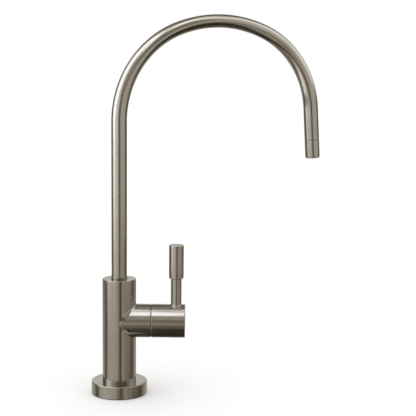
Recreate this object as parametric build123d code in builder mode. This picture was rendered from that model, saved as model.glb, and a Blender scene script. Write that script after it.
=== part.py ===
from build123d import *
from math import cos, pi, radians, sin, tan
import os

# Drinking water faucet: a round base plate, an upright body with a level valve branch,
# a lever on the branch, a gooseneck spout that swivels, and the clamp under the worktop.
# Millimetres. The origin is on the axis of the body, on top of the worktop.
# +Z is up and +X runs along the valve branch towards the lever.

# Body and base plate. EDGE is the small chamfer or round of most rims, and a cut runs
# CUT_MARGIN past the face that it opens.
BODY_R = 13.1
BASE_R = 21.8
BASE_LOW = 0.6
BASE_TOP = 10.2
BODY_TOP = 92.0
VALVE_Z = 58.4
BRANCH_END = 24.9
EDGE = 0.4
CUT_MARGIN = 1.0
SPIGOT_R = 9.0
SPIGOT_DEPTH = 2.0
BASE_HOLE_R = 5.905
BASE_BOSS_R = 7.5
BASE_ROOF = 2.0
BASE_RIB = 1.0
GASKET_INNER_R = 13.5
GASKET_OUTER_R = 20.9
GASKET_THICK = 2.2

# Waterways in the body
INLET_X = -4.0
INLET_R = 2.4
SEAT_R = 2.5
OUTLET_X = 4.2
OUTLET_R = 2.5
CAVITY_X = 2.0
CAVITY_R = 8.5

# Threaded shank, 7/16 inch with 24 threads to the inch
SHANK_R = 5.555
SHANK_BORE_R = 3.2
SHANK_TOP = 22.2
SHANK_BOTTOM = -58.0
THREAD_GAP = 0.05
SHANK_CHAMFER = 0.8
SEAL_THICK = 1.5
SEAL_BORE_R = 3.4

# Valve cartridge, measured along X from the axis of the body
SLEEVE_X = 5.0
SLEEVE_R = 7.9
SLEEVE_INNER_R = 7.0
SHOULDER_X = 16.5
GUIDE_X = 15.0
GUIDE_R = 8.45
FLANGE_R = 12.4
FLANGE_END = 25.5
NECK_R = 7.5
NECK_END = 31.0
STEM_R = 3.5
STEM_GAP = 0.05
DISC_R = 6.92
DISC_THICK = 3.0
FIXED_DISC_X = 4.5
SEAT_SEAL_INNER_R = 3.0
SEAT_SEAL_OUTER_R = 6.4
PORT_R = 5.2
PORT_INNER_R = 1.6
PORT_HALF_WEB = 50.0
WINDOW_X = 12.5
WINDOW_LENGTH = 3.4
WINDOW_WIDTH = 6.0
PRONG_OFFSET = 4.3
PRONG_SIZE = 2.4
PRONG_GRIP = 1.5
COLLAR_LENGTH = 1.9
STEM_END = 40.5

# Lever handle
HUB_START = 25.6
HUB_END = 51.6
HUB_RECESS_R = 8.1
HUB_RECESS_END = 33.5
LEVER_X = 44.6
ROD_R = 4.2
ROD_NECK_R = 3.8
GRIP_R = 5.75
GRIP_LOW = 92.4
GRIP_TOP = 119.0
GRIP_ROUND = 0.8
GRIP_CHAMFER = 0.6
ROD_THREAD_R = 3.0
ROD_THREAD_LOW = 63.4
ROD_SHOULDER = 68.4
STUD_R = 2.5
STUD_TOP = 104.4
SCREW_X = 37.0
SCREW_R = 2.0

# Gooseneck spout, drawn in an upright plane turned about the body's axis. The tube rises
# straight to BEND_LOW. Its bends follow one another smoothly from there, each an arc by its
# radius and its angle in degrees, and a straight leg ends it, which leans out a little.
SPOUT_TURN = radians(25.5)
TUBE_R = 6.0
TUBE_WALL = 0.8
TUBE_LOW = 82.5
BEND_LOW = 214.5
BENDS = ((76.1, 69.7), (102.3, 44.5), (72.4, 61.9))
LEG = 25.7
TIP_LENGTH = 15.2
SEAM = 0.35
# A bent tube is squeezed in the plane of the bend and grows a little across it. A bend
# station is a share of the bend's length and the squeeze there, and the rise is round.
RISE_STATIONS = (0, 1 / 3, 2 / 3)
BEND_STATIONS = ((0, 1.0), (0.25, 0.935), (0.5, 0.872), (0.75, 0.955), (1, 1.0))
CROSS_GROWTH = 0.55

# Swivel socket
SOCKET_R = 6.6
SOCKET_LOW = 70.0
NIPPLE_LOW = 70.8
NIPPLE_R = 6.54
NIPPLE_BORE_R = 3.6
BUSH_LOW = 84.0
BUSH_TOP = 91.6
BUSH_INNER_R = 6.06
SNAP_LOW = 79.2
SNAP_THICK = 1.1
SNAP_R = 7.1
SNAP_GROOVE_R = 7.4
SNAP_GROOVE_PLAY = 0.2

# Clamp under the worktop
WORKTOP = 20.0
WASHER_HOLE_R = 5.95
CLAMP_R = 17.0
RUBBER_THICK = 3.0
PLATE_THICK = 1.6
LOCK_THICK = 0.8
LOCK_R = 9.6
LOCK_TEETH = 12
NUT_FLATS = 17.5
NUT_THICK = 7.0
NUT_BORE_R = 5.62

# Push-fit inlet for a quarter inch tube
ADAPTOR_TOP = -48.0
ADAPTOR_LOW = -80.0
ADAPTOR_FLATS = 17.0
ADAPTOR_HEX_LOW = -61.0
ADAPTOR_R = 7.4
TUBE_SEAT_R = 3.23
TUBE_STOP = -62.5
RING_TOP = -70.8
RING_LOW = -72.8
RING_GROOVE_R = 4.9
COLLET_HOUSING_R = 5.2
LIP_R = 4.4
LIP_TOP = -78.0
COLLET_BORE_R = 3.4
COLLET_R = 4.3
COLLET_TOP = -75.0
COLLET_FLANGE_R = 5.6
COLLET_LOW = -82.8

# Rings, clips and small hardware
RING_PLAY = 0.2
RING_SKIN = 0.02
RING_ROUND = 0.5
SMALL_RING_ROUND = 0.25
PRESS_GAP = 0.03
CARTRIDGE_RING_X = 18.0
CARTRIDGE_RING_WIDTH = 2.4
CARTRIDGE_RING_R = 7.1
STEM_RING_X = (20.0, 25.6)
STEM_RING_WIDTH = 1.8
STEM_RING_R = 2.65
CLIP_X = 31.3
CLIP_THICK = 0.8
CLIP_PLAY = 0.05
CLIP_SEAT_R = 2.9
CLIP_R = 5.2
CLIP_OPENING = 4.4
FLAT_DEPTH = 3.0
FLAT_LENGTH = 6.0
SCREW_LENGTH = 5.5
SCREW_CHAMFER = 0.3
SCREW_KEY = 2.0
NECK_LENGTH = 0.8
NIPPLE_TOP = 90.0
NIPPLE_RING_Z = (72.4, 75.9)
NIPPLE_RING_WIDTH = 1.8
NIPPLE_RING_R = 5.2
SNAP_SEAT_R = 5.6
MOUTH_R = 4.6
TIP_ROUND = 0.9
TIP_RING_RISE = 2.6
TIP_RING_WIDTH = 1.8
TIP_RING_R = 4.35
SPIGOT_LENGTH = 7.0
STRAIGHTENER_TOP = 9.0
STRAIGHTENER_INSET = 1.4
JET_R = 0.5
JET_SPACING = 1.6
LOCK_NOTCH_LENGTH = 3.4
LOCK_NOTCH_WIDTH = 1.6
NUT_CORNER_DROP = 0.8
COLLET_BARB_R = 4.85
COLLET_FLANGE_THICK = 1.4
SLIT_WIDTH = 0.9

# Working planes and axes. SIDE is upright through the body's axis, and VALVE is the same
# plane with its origin raised to the level of the branch.
SIDE = Plane(origin=(0, 0, 0), x_dir=(1, 0, 0), z_dir=(0, -1, 0))
VALVE = Plane(origin=(0, 0, VALVE_Z), x_dir=(1, 0, 0), z_dir=(0, -1, 0))
VALVE_AXIS = Axis((0, 0, VALVE_Z), (1, 0, 0))
LEVER = Plane(origin=(LEVER_X, 0, 0), x_dir=(1, 0, 0), z_dir=(0, -1, 0))
LEVER_AXIS = Axis((LEVER_X, 0, 0), (0, 0, 1))
SPOUT = Plane(
    origin=(0, 0, 0),
    x_dir=(cos(SPOUT_TURN), sin(SPOUT_TURN), 0),
    z_dir=(sin(SPOUT_TURN), -cos(SPOUT_TURN), 0),
)


def half_section(*points):
    """Fill the straight-sided outline through the points, in the sketch that is open."""
    Polygon(*points, align=None)


def band(inner, outer, low, high):
    """Fill a rectangle between two radii and two heights, for a ring about an upright axis."""
    half_section((inner, low), (outer, low), (outer, high), (inner, high))


def axial_band(start, end, inner, outer):
    """Fill a rectangle between two places along the valve and two radii about its axis."""
    half_section((start, inner), (end, inner), (end, outer), (start, outer))


def port_sectors(turn):
    """Fill the two opposite water ports of a valve disc, turned by an angle in degrees."""
    Circle(PORT_R)
    Circle(PORT_INNER_R, mode=Mode.SUBTRACT)
    half = PORT_R * tan(radians(PORT_HALF_WEB))
    for side in (0, 180):
        with Locations(Location((0, 0, 0), (0, 0, turn + side))):
            Polygon((0, 0), (PORT_R, -half), (PORT_R, half), align=None, mode=Mode.SUBTRACT)


def ahead(start, heading, distance):
    """Point of the spout's plane straight ahead of another, by a heading from straight up."""
    return start[0] + distance * sin(heading), start[1] + distance * cos(heading)


def bend(start, heading, radius, turn):
    """Start, middle and end of an arc of the spout's plane that turns over from a heading."""
    centre = ahead(start, heading + pi / 2, radius)
    return [ahead(centre, heading + turn * share - pi / 2, radius) for share in (0, 0.5, 1)]


# Body: an upright barrel crossed by a branch of the same diameter
with BuildPart() as body_tee:
    with BuildSketch(Plane.XY.offset(BASE_TOP)):
        Circle(BODY_R)
    extrude(amount=BODY_TOP - BASE_TOP)
    with BuildSketch(Plane.YZ):
        with Locations((0, VALVE_Z)):
            Circle(BODY_R)
    extrude(amount=BRANCH_END)
    rims = body_tee.edges().filter_by(GeomType.CIRCLE)
    chamfer(rims.sort_by(Axis.Z)[-1], EDGE)
    rims = body_tee.edges().filter_by(GeomType.CIRCLE)
    chamfer(rims.sort_by(Axis.X)[-1], EDGE)
    # Spigot that centres the base plate
    with BuildSketch(Plane.XY.offset(BASE_TOP)):
        Circle(SPIGOT_R)
    extrude(amount=-SPIGOT_DEPTH)
    # Threaded socket for the shank, with the room above it where the water enters
    with BuildSketch(SIDE):
        half_section(
            (0, BASE_TOP - SPIGOT_DEPTH),
            (SHANK_R + THREAD_GAP, BASE_TOP - SPIGOT_DEPTH),
            (SHANK_R + THREAD_GAP, SHANK_TOP + SEAL_THICK),
            (SHANK_R - SEAL_THICK, SHANK_TOP + SEAL_THICK),
            (0, SHANK_TOP + 2 * SHANK_R),
        )
    revolve(axis=Axis.Z, mode=Mode.SUBTRACT)
    # Riser, offset from the axis so that it reaches the valve seat from behind
    with BuildSketch(Plane.XY.offset(SHANK_TOP + SEAL_THICK)):
        with Locations((INLET_X, 0)):
            Circle(INLET_R)
    extrude(amount=VALVE_Z + SEAT_R - SHANK_TOP - SEAL_THICK, mode=Mode.SUBTRACT)
    # Valve seat hole and the cavity of the cartridge
    with BuildSketch(VALVE):
        half_section(
            (INLET_X, 0),
            (BRANCH_END, 0),
            (BRANCH_END, CAVITY_R),
            (CAVITY_X, CAVITY_R),
            (CAVITY_X, SEAT_R),
            (INLET_X, SEAT_R),
        )
    revolve(axis=VALVE_AXIS, mode=Mode.SUBTRACT)
    # Outlet from the cavity up to the swivel socket
    with BuildSketch(Plane.XY.offset(VALVE_Z + SLEEVE_INNER_R)):
        with Locations((OUTLET_X, 0)):
            Circle(OUTLET_R)
    extrude(amount=SOCKET_LOW - VALVE_Z - SLEEVE_INNER_R + CUT_MARGIN, mode=Mode.SUBTRACT)
    # Swivel socket with the groove that the snap ring springs into
    with BuildSketch(SIDE):
        half_section(
            (0, SOCKET_LOW),
            (SOCKET_R, SOCKET_LOW),
            (SOCKET_R, SNAP_LOW - SNAP_GROOVE_PLAY),
            (SNAP_GROOVE_R, SNAP_LOW - SNAP_GROOVE_PLAY),
            (SNAP_GROOVE_R, SNAP_LOW + SNAP_THICK + SNAP_GROOVE_PLAY),
            (SOCKET_R, SNAP_LOW + SNAP_THICK + SNAP_GROOVE_PLAY),
            (SOCKET_R, BODY_TOP),
            (0, BODY_TOP),
        )
    revolve(axis=Axis.Z, mode=Mode.SUBTRACT)
body_tee.part.label = "body_tee"
export_step(body_tee.part, "parts/body_tee.step")


# Base plate: a thick disc, hollowed from below round the shank
with BuildPart() as base_plate:
    with BuildSketch(SIDE):
        half_section(
            (BASE_HOLE_R, BASE_LOW),
            (BASE_BOSS_R, BASE_LOW),
            (BASE_BOSS_R, BASE_TOP - SPIGOT_DEPTH - BASE_ROOF),
            (GASKET_INNER_R - BASE_RIB, BASE_TOP - SPIGOT_DEPTH - BASE_ROOF),
            (GASKET_INNER_R - BASE_RIB, BASE_LOW),
            (GASKET_INNER_R, BASE_LOW),
            (GASKET_INNER_R, GASKET_THICK),
            (GASKET_OUTER_R, GASKET_THICK),
            (GASKET_OUTER_R, BASE_LOW),
            (BASE_R, BASE_LOW),
            (BASE_R, BASE_TOP),
            (SPIGOT_R + THREAD_GAP, BASE_TOP),
            (SPIGOT_R + THREAD_GAP, BASE_TOP - SPIGOT_DEPTH),
            (BASE_HOLE_R, BASE_TOP - SPIGOT_DEPTH),
        )
    revolve(axis=Axis.Z)
    outer_rims = base_plate.edges().filter_by(GeomType.CIRCLE).group_by(SortBy.RADIUS)[-1]
    fillet(outer_rims.sort_by(Axis.Z)[-1], EDGE)
base_plate.part.label = "base_plate"
export_step(base_plate.part, "parts/base_plate.step")


# Gasket between the base plate and the worktop
with BuildPart() as base_gasket:
    with BuildSketch(SIDE):
        band(GASKET_INNER_R, GASKET_OUTER_R, 0, GASKET_THICK)
    revolve(axis=Axis.Z)
base_gasket.part.label = "base_gasket"
export_step(base_gasket.part, "parts/base_gasket.step")


# Hollow threaded shank, drawn at the crest diameter of its thread
with BuildPart() as mounting_shank:
    with BuildSketch(SIDE):
        half_section(
            (SHANK_BORE_R, SHANK_BOTTOM),
            (SHANK_R - SHANK_CHAMFER, SHANK_BOTTOM),
            (SHANK_R, SHANK_BOTTOM + SHANK_CHAMFER),
            (SHANK_R, SHANK_TOP - SHANK_CHAMFER),
            (SHANK_R - SHANK_CHAMFER, SHANK_TOP),
            (SHANK_BORE_R, SHANK_TOP),
        )
    revolve(axis=Axis.Z)
mounting_shank.part.label = "mounting_shank"
export_step(mounting_shank.part, "parts/mounting_shank.step")


# Fibre washer that seals the top of the shank in the body
with BuildPart() as shank_washer:
    with BuildSketch(SIDE):
        band(SEAL_BORE_R, SHANK_R, SHANK_TOP, SHANK_TOP + SEAL_THICK)
    revolve(axis=Axis.Z)
shank_washer.part.label = "shank_washer"
export_step(shank_washer.part, "parts/shank_washer.step")


# Cartridge body: thin sleeve round the discs, guide with its seal groove, flange and neck
with BuildPart() as cartridge_body:
    with BuildSketch(VALVE):
        half_section(
            (SLEEVE_X, SLEEVE_INNER_R),
            (SHOULDER_X, SLEEVE_INNER_R),
            (SHOULDER_X, STEM_R + STEM_GAP),
            (NECK_END, STEM_R + STEM_GAP),
            (NECK_END, NECK_R - EDGE),
            (NECK_END - EDGE, NECK_R),
            (FLANGE_END, NECK_R),
            (FLANGE_END, FLANGE_R),
            (BRANCH_END, FLANGE_R),
            (BRANCH_END, GUIDE_R),
            (CARTRIDGE_RING_X + CARTRIDGE_RING_WIDTH, GUIDE_R),
            (CARTRIDGE_RING_X + CARTRIDGE_RING_WIDTH, CARTRIDGE_RING_R),
            (CARTRIDGE_RING_X, CARTRIDGE_RING_R),
            (CARTRIDGE_RING_X, GUIDE_R),
            (GUIDE_X, GUIDE_R),
            (GUIDE_X, SLEEVE_R),
            (SLEEVE_X, SLEEVE_R),
        )
    revolve(axis=VALVE_AXIS)
    # Windows through the sleeve, above and below, behind the moving disc
    with BuildSketch(Plane.XY.offset(VALVE_Z - SLEEVE_R - CUT_MARGIN)):
        with Locations((WINDOW_X, 0)):
            SlotOverall(WINDOW_WIDTH, WINDOW_LENGTH, rotation=90)
    extrude(amount=2 * (SLEEVE_R + CUT_MARGIN), mode=Mode.SUBTRACT)
cartridge_body.part.label = "cartridge_body"
export_step(cartridge_body.part, "parts/cartridge_body.step")


# Rubber ring that seals the cartridge in its cavity
with BuildPart() as cartridge_o_ring:
    with BuildSketch(VALVE) as ring_section:
        axial_band(
            CARTRIDGE_RING_X + RING_PLAY,
            CARTRIDGE_RING_X + CARTRIDGE_RING_WIDTH - RING_PLAY,
            CARTRIDGE_RING_R + RING_SKIN,
            CAVITY_R - RING_SKIN,
        )
        fillet(ring_section.vertices(), RING_ROUND)
    revolve(axis=VALVE_AXIS)
cartridge_o_ring.part.label = "cartridge_o_ring"
export_step(cartridge_o_ring.part, "parts/cartridge_o_ring.step")


# Rubber seat between the body and the fixed disc
with BuildPart() as seat_seal:
    with BuildSketch(VALVE):
        axial_band(CAVITY_X, FIXED_DISC_X, SEAT_SEAL_INNER_R, SEAT_SEAL_OUTER_R)
    revolve(axis=VALVE_AXIS)
seat_seal.part.label = "seat_seal"
export_step(seat_seal.part, "parts/seat_seal.step")


# Fixed ceramic disc, with two opposite ports
FIXED_PLANE = Plane(origin=(FIXED_DISC_X, 0, VALVE_Z), x_dir=(0, 1, 0), z_dir=(1, 0, 0))
with BuildPart() as fixed_disc:
    with BuildSketch(FIXED_PLANE):
        Circle(DISC_R)
    extrude(amount=DISC_THICK)
    with BuildSketch(FIXED_PLANE):
        port_sectors(0)
    extrude(amount=DISC_THICK, mode=Mode.SUBTRACT)
fixed_disc.part.label = "fixed_disc"
export_step(fixed_disc.part, "parts/fixed_disc.step")


# Moving ceramic disc. Its ports stand a quarter turn away while the lever is upright.
MOVING_PLANE = FIXED_PLANE.offset(DISC_THICK)
with BuildPart() as moving_disc:
    with BuildSketch(MOVING_PLANE):
        Circle(DISC_R)
    extrude(amount=DISC_THICK)
    with BuildSketch(MOVING_PLANE):
        port_sectors(90)
    extrude(amount=DISC_THICK, mode=Mode.SUBTRACT)
    # Pockets for the two prongs of the spindle, in the webs between the ports
    with BuildSketch(MOVING_PLANE.offset(DISC_THICK)):
        with Locations((0, PRONG_OFFSET), (0, -PRONG_OFFSET)):
            Rectangle(PRONG_SIZE, PRONG_SIZE)
    extrude(amount=-PRONG_GRIP, mode=Mode.SUBTRACT)
moving_disc.part.label = "moving_disc"
export_step(moving_disc.part, "parts/moving_disc.step")


def notch(start, width, bottom, outer):
    """Four points of a ring groove, along a shaft that has the outer radius."""
    end = start + width
    return [(start, outer), (start, bottom), (end, bottom), (end, outer)]


# Spindle: collar with two prongs, stem with two seal grooves and a clip groove
COLLAR_X = SHOULDER_X - STEM_GAP * 2 - COLLAR_LENGTH
with BuildPart() as valve_spindle:
    with BuildSketch(VALVE):
        half_section(
            (COLLAR_X, 0),
            (COLLAR_X, DISC_R),
            (COLLAR_X + COLLAR_LENGTH, DISC_R),
            (COLLAR_X + COLLAR_LENGTH, STEM_R),
            *notch(STEM_RING_X[0], STEM_RING_WIDTH, STEM_RING_R, STEM_R),
            *notch(STEM_RING_X[1], STEM_RING_WIDTH, STEM_RING_R, STEM_R),
            *notch(CLIP_X - CLIP_PLAY, CLIP_THICK + 2 * CLIP_PLAY, CLIP_SEAT_R, STEM_R),
            (STEM_END - EDGE, STEM_R),
            (STEM_END, STEM_R - EDGE),
            (STEM_END, 0),
        )
    revolve(axis=VALVE_AXIS)
    # Prongs that turn the moving disc
    with BuildSketch(Plane(origin=(COLLAR_X, 0, VALVE_Z), x_dir=(0, 1, 0), z_dir=(1, 0, 0))):
        with Locations((0, PRONG_OFFSET), (0, -PRONG_OFFSET)):
            Rectangle(PRONG_SIZE - 2 * STEM_GAP, PRONG_SIZE - 2 * STEM_GAP)
    extrude(amount=MOVING_PLANE.origin.X + DISC_THICK - PRONG_GRIP - COLLAR_X)
    # Flat under the stem, where the set screw presses
    with BuildSketch(Plane.XY.offset(VALVE_Z - FLAT_DEPTH)):
        with Locations((STEM_END - FLAT_LENGTH / 2, 0)):
            Rectangle(FLAT_LENGTH, 2 * STEM_R)
    extrude(amount=-STEM_R, mode=Mode.SUBTRACT)
valve_spindle.part.label = "valve_spindle"
export_step(valve_spindle.part, "parts/valve_spindle.step")


# Two rubber rings on the stem
with BuildPart() as spindle_o_rings:
    with BuildSketch(VALVE) as ring_section:
        for ring_x in STEM_RING_X:
            axial_band(
                ring_x + RING_PLAY,
                ring_x + STEM_RING_WIDTH - RING_PLAY,
                STEM_RING_R + RING_SKIN,
                STEM_R + RING_SKIN,
            )
        fillet(ring_section.vertices(), SMALL_RING_ROUND)
    revolve(axis=VALVE_AXIS)
spindle_o_rings.part.label = "spindle_o_rings"
export_step(spindle_o_rings.part, "parts/spindle_o_rings.step")


# Open spring clip that keeps the spindle in the cartridge
with BuildPart() as spindle_clip:
    with BuildSketch(Plane(origin=(CLIP_X, 0, VALVE_Z), x_dir=(0, 1, 0), z_dir=(1, 0, 0))):
        Circle(CLIP_R)
        Circle(CLIP_SEAT_R + RING_SKIN, mode=Mode.SUBTRACT)
        with Locations((0, CLIP_R)):
            Rectangle(CLIP_OPENING, 2 * CLIP_R, mode=Mode.SUBTRACT)
    extrude(amount=CLIP_THICK)
spindle_clip.part.label = "spindle_clip"
export_step(spindle_clip.part, "parts/spindle_clip.step")


# Hub of the lever, the same diameter as the branch
with BuildPart() as handle_hub:
    with BuildSketch(VALVE):
        half_section(
            (HUB_START, HUB_RECESS_R),
            (HUB_START, BODY_R - EDGE),
            (HUB_START + EDGE, BODY_R),
            (HUB_END - EDGE, BODY_R),
            (HUB_END, BODY_R - EDGE),
            (HUB_END, 0),
            (STEM_END + 2 * THREAD_GAP, 0),
            (STEM_END + 2 * THREAD_GAP, STEM_R + PRESS_GAP),
            (HUB_RECESS_END, STEM_R + PRESS_GAP),
            (HUB_RECESS_END, HUB_RECESS_R),
        )
    revolve(axis=VALVE_AXIS)
    # Threaded hole for the lever rod, with a counterbore for its shoulder
    with BuildSketch(LEVER):
        half_section(
            (0, ROD_THREAD_LOW - EDGE),
            (ROD_THREAD_R + THREAD_GAP, ROD_THREAD_LOW - EDGE),
            (ROD_THREAD_R + THREAD_GAP, ROD_SHOULDER),
            (ROD_R + PRESS_GAP, ROD_SHOULDER),
            (ROD_R + PRESS_GAP, VALVE_Z + BODY_R + CUT_MARGIN),
            (0, VALVE_Z + BODY_R + CUT_MARGIN),
        )
    revolve(axis=LEVER_AXIS, mode=Mode.SUBTRACT)
    # Hole for the set screw, from below up to the stem
    with BuildSketch(Plane.XY.offset(VALVE_Z - BODY_R - CUT_MARGIN)):
        with Locations((SCREW_X, 0)):
            Circle(SCREW_R + THREAD_GAP)
    extrude(amount=BODY_R + CUT_MARGIN - STEM_R / 2, mode=Mode.SUBTRACT)
handle_hub.part.label = "handle_hub"
export_step(handle_hub.part, "parts/handle_hub.step")


# Set screw with a hexagon socket, its end on the flat of the stem
with BuildPart() as hub_set_screw:
    with BuildSketch(Plane.XY.offset(VALVE_Z - FLAT_DEPTH)):
        with Locations((SCREW_X, 0)):
            Circle(SCREW_R)
    extrude(amount=-SCREW_LENGTH)
    chamfer(hub_set_screw.edges().filter_by(GeomType.CIRCLE), SCREW_CHAMFER)
    with BuildSketch(Plane.XY.offset(VALVE_Z - FLAT_DEPTH - SCREW_LENGTH)):
        with Locations((SCREW_X, 0)):
            RegularPolygon(SCREW_KEY / 2, 6, major_radius=False)
    extrude(amount=SCREW_LENGTH / 2, mode=Mode.SUBTRACT)
hub_set_screw.part.label = "hub_set_screw"
export_step(hub_set_screw.part, "parts/hub_set_screw.step")


# Lever rod, threaded into the hub, with a neck and a stud for the grip
with BuildPart() as lever_rod:
    with BuildSketch(LEVER):
        half_section(
            (0, ROD_THREAD_LOW),
            (ROD_THREAD_R - EDGE, ROD_THREAD_LOW),
            (ROD_THREAD_R, ROD_THREAD_LOW + EDGE),
            (ROD_THREAD_R, ROD_SHOULDER),
            (ROD_R, ROD_SHOULDER),
            (ROD_R, GRIP_LOW - NECK_LENGTH),
            (ROD_NECK_R, GRIP_LOW - NECK_LENGTH),
            (ROD_NECK_R, GRIP_LOW),
            (STUD_R, GRIP_LOW),
            (STUD_R, STUD_TOP),
            (0, STUD_TOP),
        )
    revolve(axis=LEVER_AXIS)
lever_rod.part.label = "lever_rod"
export_step(lever_rod.part, "parts/lever_rod.step")


# Grip: a thicker cylinder, rounded at its top edge and chamfered at its lower one
with BuildPart() as lever_grip:
    with BuildSketch(LEVER):
        half_section(
            (STUD_R + PRESS_GAP, GRIP_LOW),
            (GRIP_R - GRIP_CHAMFER, GRIP_LOW),
            (GRIP_R, GRIP_LOW + GRIP_CHAMFER),
            (GRIP_R, GRIP_TOP),
            (0, GRIP_TOP),
            (0, STUD_TOP + EDGE),
            (STUD_R + PRESS_GAP, STUD_TOP + EDGE),
        )
    revolve(axis=LEVER_AXIS)
    fillet(lever_grip.edges().filter_by(GeomType.CIRCLE).sort_by(Axis.Z)[-1], GRIP_ROUND)
lever_grip.part.label = "lever_grip"
export_step(lever_grip.part, "parts/lever_grip.step")


# Gooseneck: the rise, the bends from the near shoulder over the crown to the far shoulder,
# and the leg. The heading and the end of the bend go with the tube as it is bent.
RISE = BEND_LOW - TUBE_LOW
heading = 0.0
bend_end = (0, BEND_LOW)
with BuildPart() as spout_tube:
    with BuildLine(SPOUT) as gooseneck:
        Line((0, TUBE_LOW), bend_end)
        for bend_radius, bend_angle in BENDS:
            arc = bend(bend_end, heading, bend_radius, radians(bend_angle))
            ThreePointArc(*arc)
            heading += radians(bend_angle)
            bend_end = arc[-1]
        Line(bend_end, ahead(bend_end, heading, LEG))
    centre_line = gooseneck.wires()[0]
    bend_length = centre_line.length - RISE - LEG
    stations = [(RISE * share, 1.0) for share in RISE_STATIONS]
    stations += [(RISE + bend_length * share, squeeze) for share, squeeze in BEND_STATIONS]
    stations += [(centre_line.length, 1.0)]
    for wall, mode in ((0, Mode.ADD), (TUBE_WALL, Mode.SUBTRACT)):
        sections = []
        for distance, squeeze in stations:
            share = distance / centre_line.length
            here = Plane(origin=centre_line @ share, x_dir=SPOUT.z_dir, z_dir=centre_line % share)
            across = TUBE_R * (1 + (1 - squeeze) * CROSS_GROWTH) - wall
            with BuildSketch(here) as tube_section:
                Ellipse(across, TUBE_R * squeeze - wall)
            sections.append(tube_section.sketch)
        sweep(sections=sections, path=centre_line, multisection=True, mode=mode)
spout_tube.part.label = "spout_tube"
export_step(spout_tube.part, "parts/spout_tube.step")


# Nipple brazed into the foot of the tube, with grooves for two seals and the snap ring
with BuildPart() as spout_nipple:
    with BuildSketch(SIDE):
        half_section(
            (NIPPLE_BORE_R, NIPPLE_LOW),
            (NIPPLE_R - EDGE, NIPPLE_LOW),
            (NIPPLE_R, NIPPLE_LOW + EDGE),
            (NIPPLE_R, NIPPLE_RING_Z[0]),
            (NIPPLE_RING_R, NIPPLE_RING_Z[0]),
            (NIPPLE_RING_R, NIPPLE_RING_Z[0] + NIPPLE_RING_WIDTH),
            (NIPPLE_R, NIPPLE_RING_Z[0] + NIPPLE_RING_WIDTH),
            (NIPPLE_R, NIPPLE_RING_Z[1]),
            (NIPPLE_RING_R, NIPPLE_RING_Z[1]),
            (NIPPLE_RING_R, NIPPLE_RING_Z[1] + NIPPLE_RING_WIDTH),
            (NIPPLE_R, NIPPLE_RING_Z[1] + NIPPLE_RING_WIDTH),
            (NIPPLE_R, SNAP_LOW - CLIP_PLAY),
            (SNAP_SEAT_R, SNAP_LOW - CLIP_PLAY),
            (SNAP_SEAT_R, SNAP_LOW + SNAP_THICK + CLIP_PLAY),
            (NIPPLE_R, SNAP_LOW + SNAP_THICK + CLIP_PLAY),
            (NIPPLE_R, TUBE_LOW),
            (TUBE_R - TUBE_WALL - PRESS_GAP, TUBE_LOW),
            (TUBE_R - TUBE_WALL - PRESS_GAP, NIPPLE_TOP),
            (NIPPLE_BORE_R, NIPPLE_TOP),
        )
    revolve(axis=Axis.Z)
spout_nipple.part.label = "spout_nipple"
export_step(spout_nipple.part, "parts/spout_nipple.step")


# Two rubber rings round the nipple
with BuildPart() as spout_o_rings:
    with BuildSketch(SIDE) as ring_section:
        for ring_z in NIPPLE_RING_Z:
            band(
                NIPPLE_RING_R + RING_SKIN,
                SOCKET_R - 2 * RING_SKIN,
                ring_z + RING_PLAY,
                ring_z + NIPPLE_RING_WIDTH - RING_PLAY,
            )
        fillet(ring_section.vertices(), SMALL_RING_ROUND)
    revolve(axis=Axis.Z)
spout_o_rings.part.label = "spout_o_rings"
export_step(spout_o_rings.part, "parts/spout_o_rings.step")


# Open snap ring that holds the spout down and lets it turn
with BuildPart() as spout_snap_ring:
    with BuildSketch(Plane.XY.offset(SNAP_LOW)):
        Circle(SNAP_R)
        Circle(SNAP_SEAT_R + RING_SKIN, mode=Mode.SUBTRACT)
        with Locations((-SNAP_R, 0)):
            Rectangle(SNAP_R, CLIP_OPENING, mode=Mode.SUBTRACT)
    extrude(amount=SNAP_THICK)
spout_snap_ring.part.label = "spout_snap_ring"
export_step(spout_snap_ring.part, "parts/spout_snap_ring.step")


# Plastic bush at the mouth of the socket, in which the tube turns
with BuildPart() as spout_bush:
    with BuildSketch(SIDE):
        band(BUSH_INNER_R, SOCKET_R - RING_SKIN, BUSH_LOW, BUSH_TOP)
    revolve(axis=Axis.Z)
spout_bush.part.label = "spout_bush"
export_step(spout_bush.part, "parts/spout_bush.step")


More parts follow.
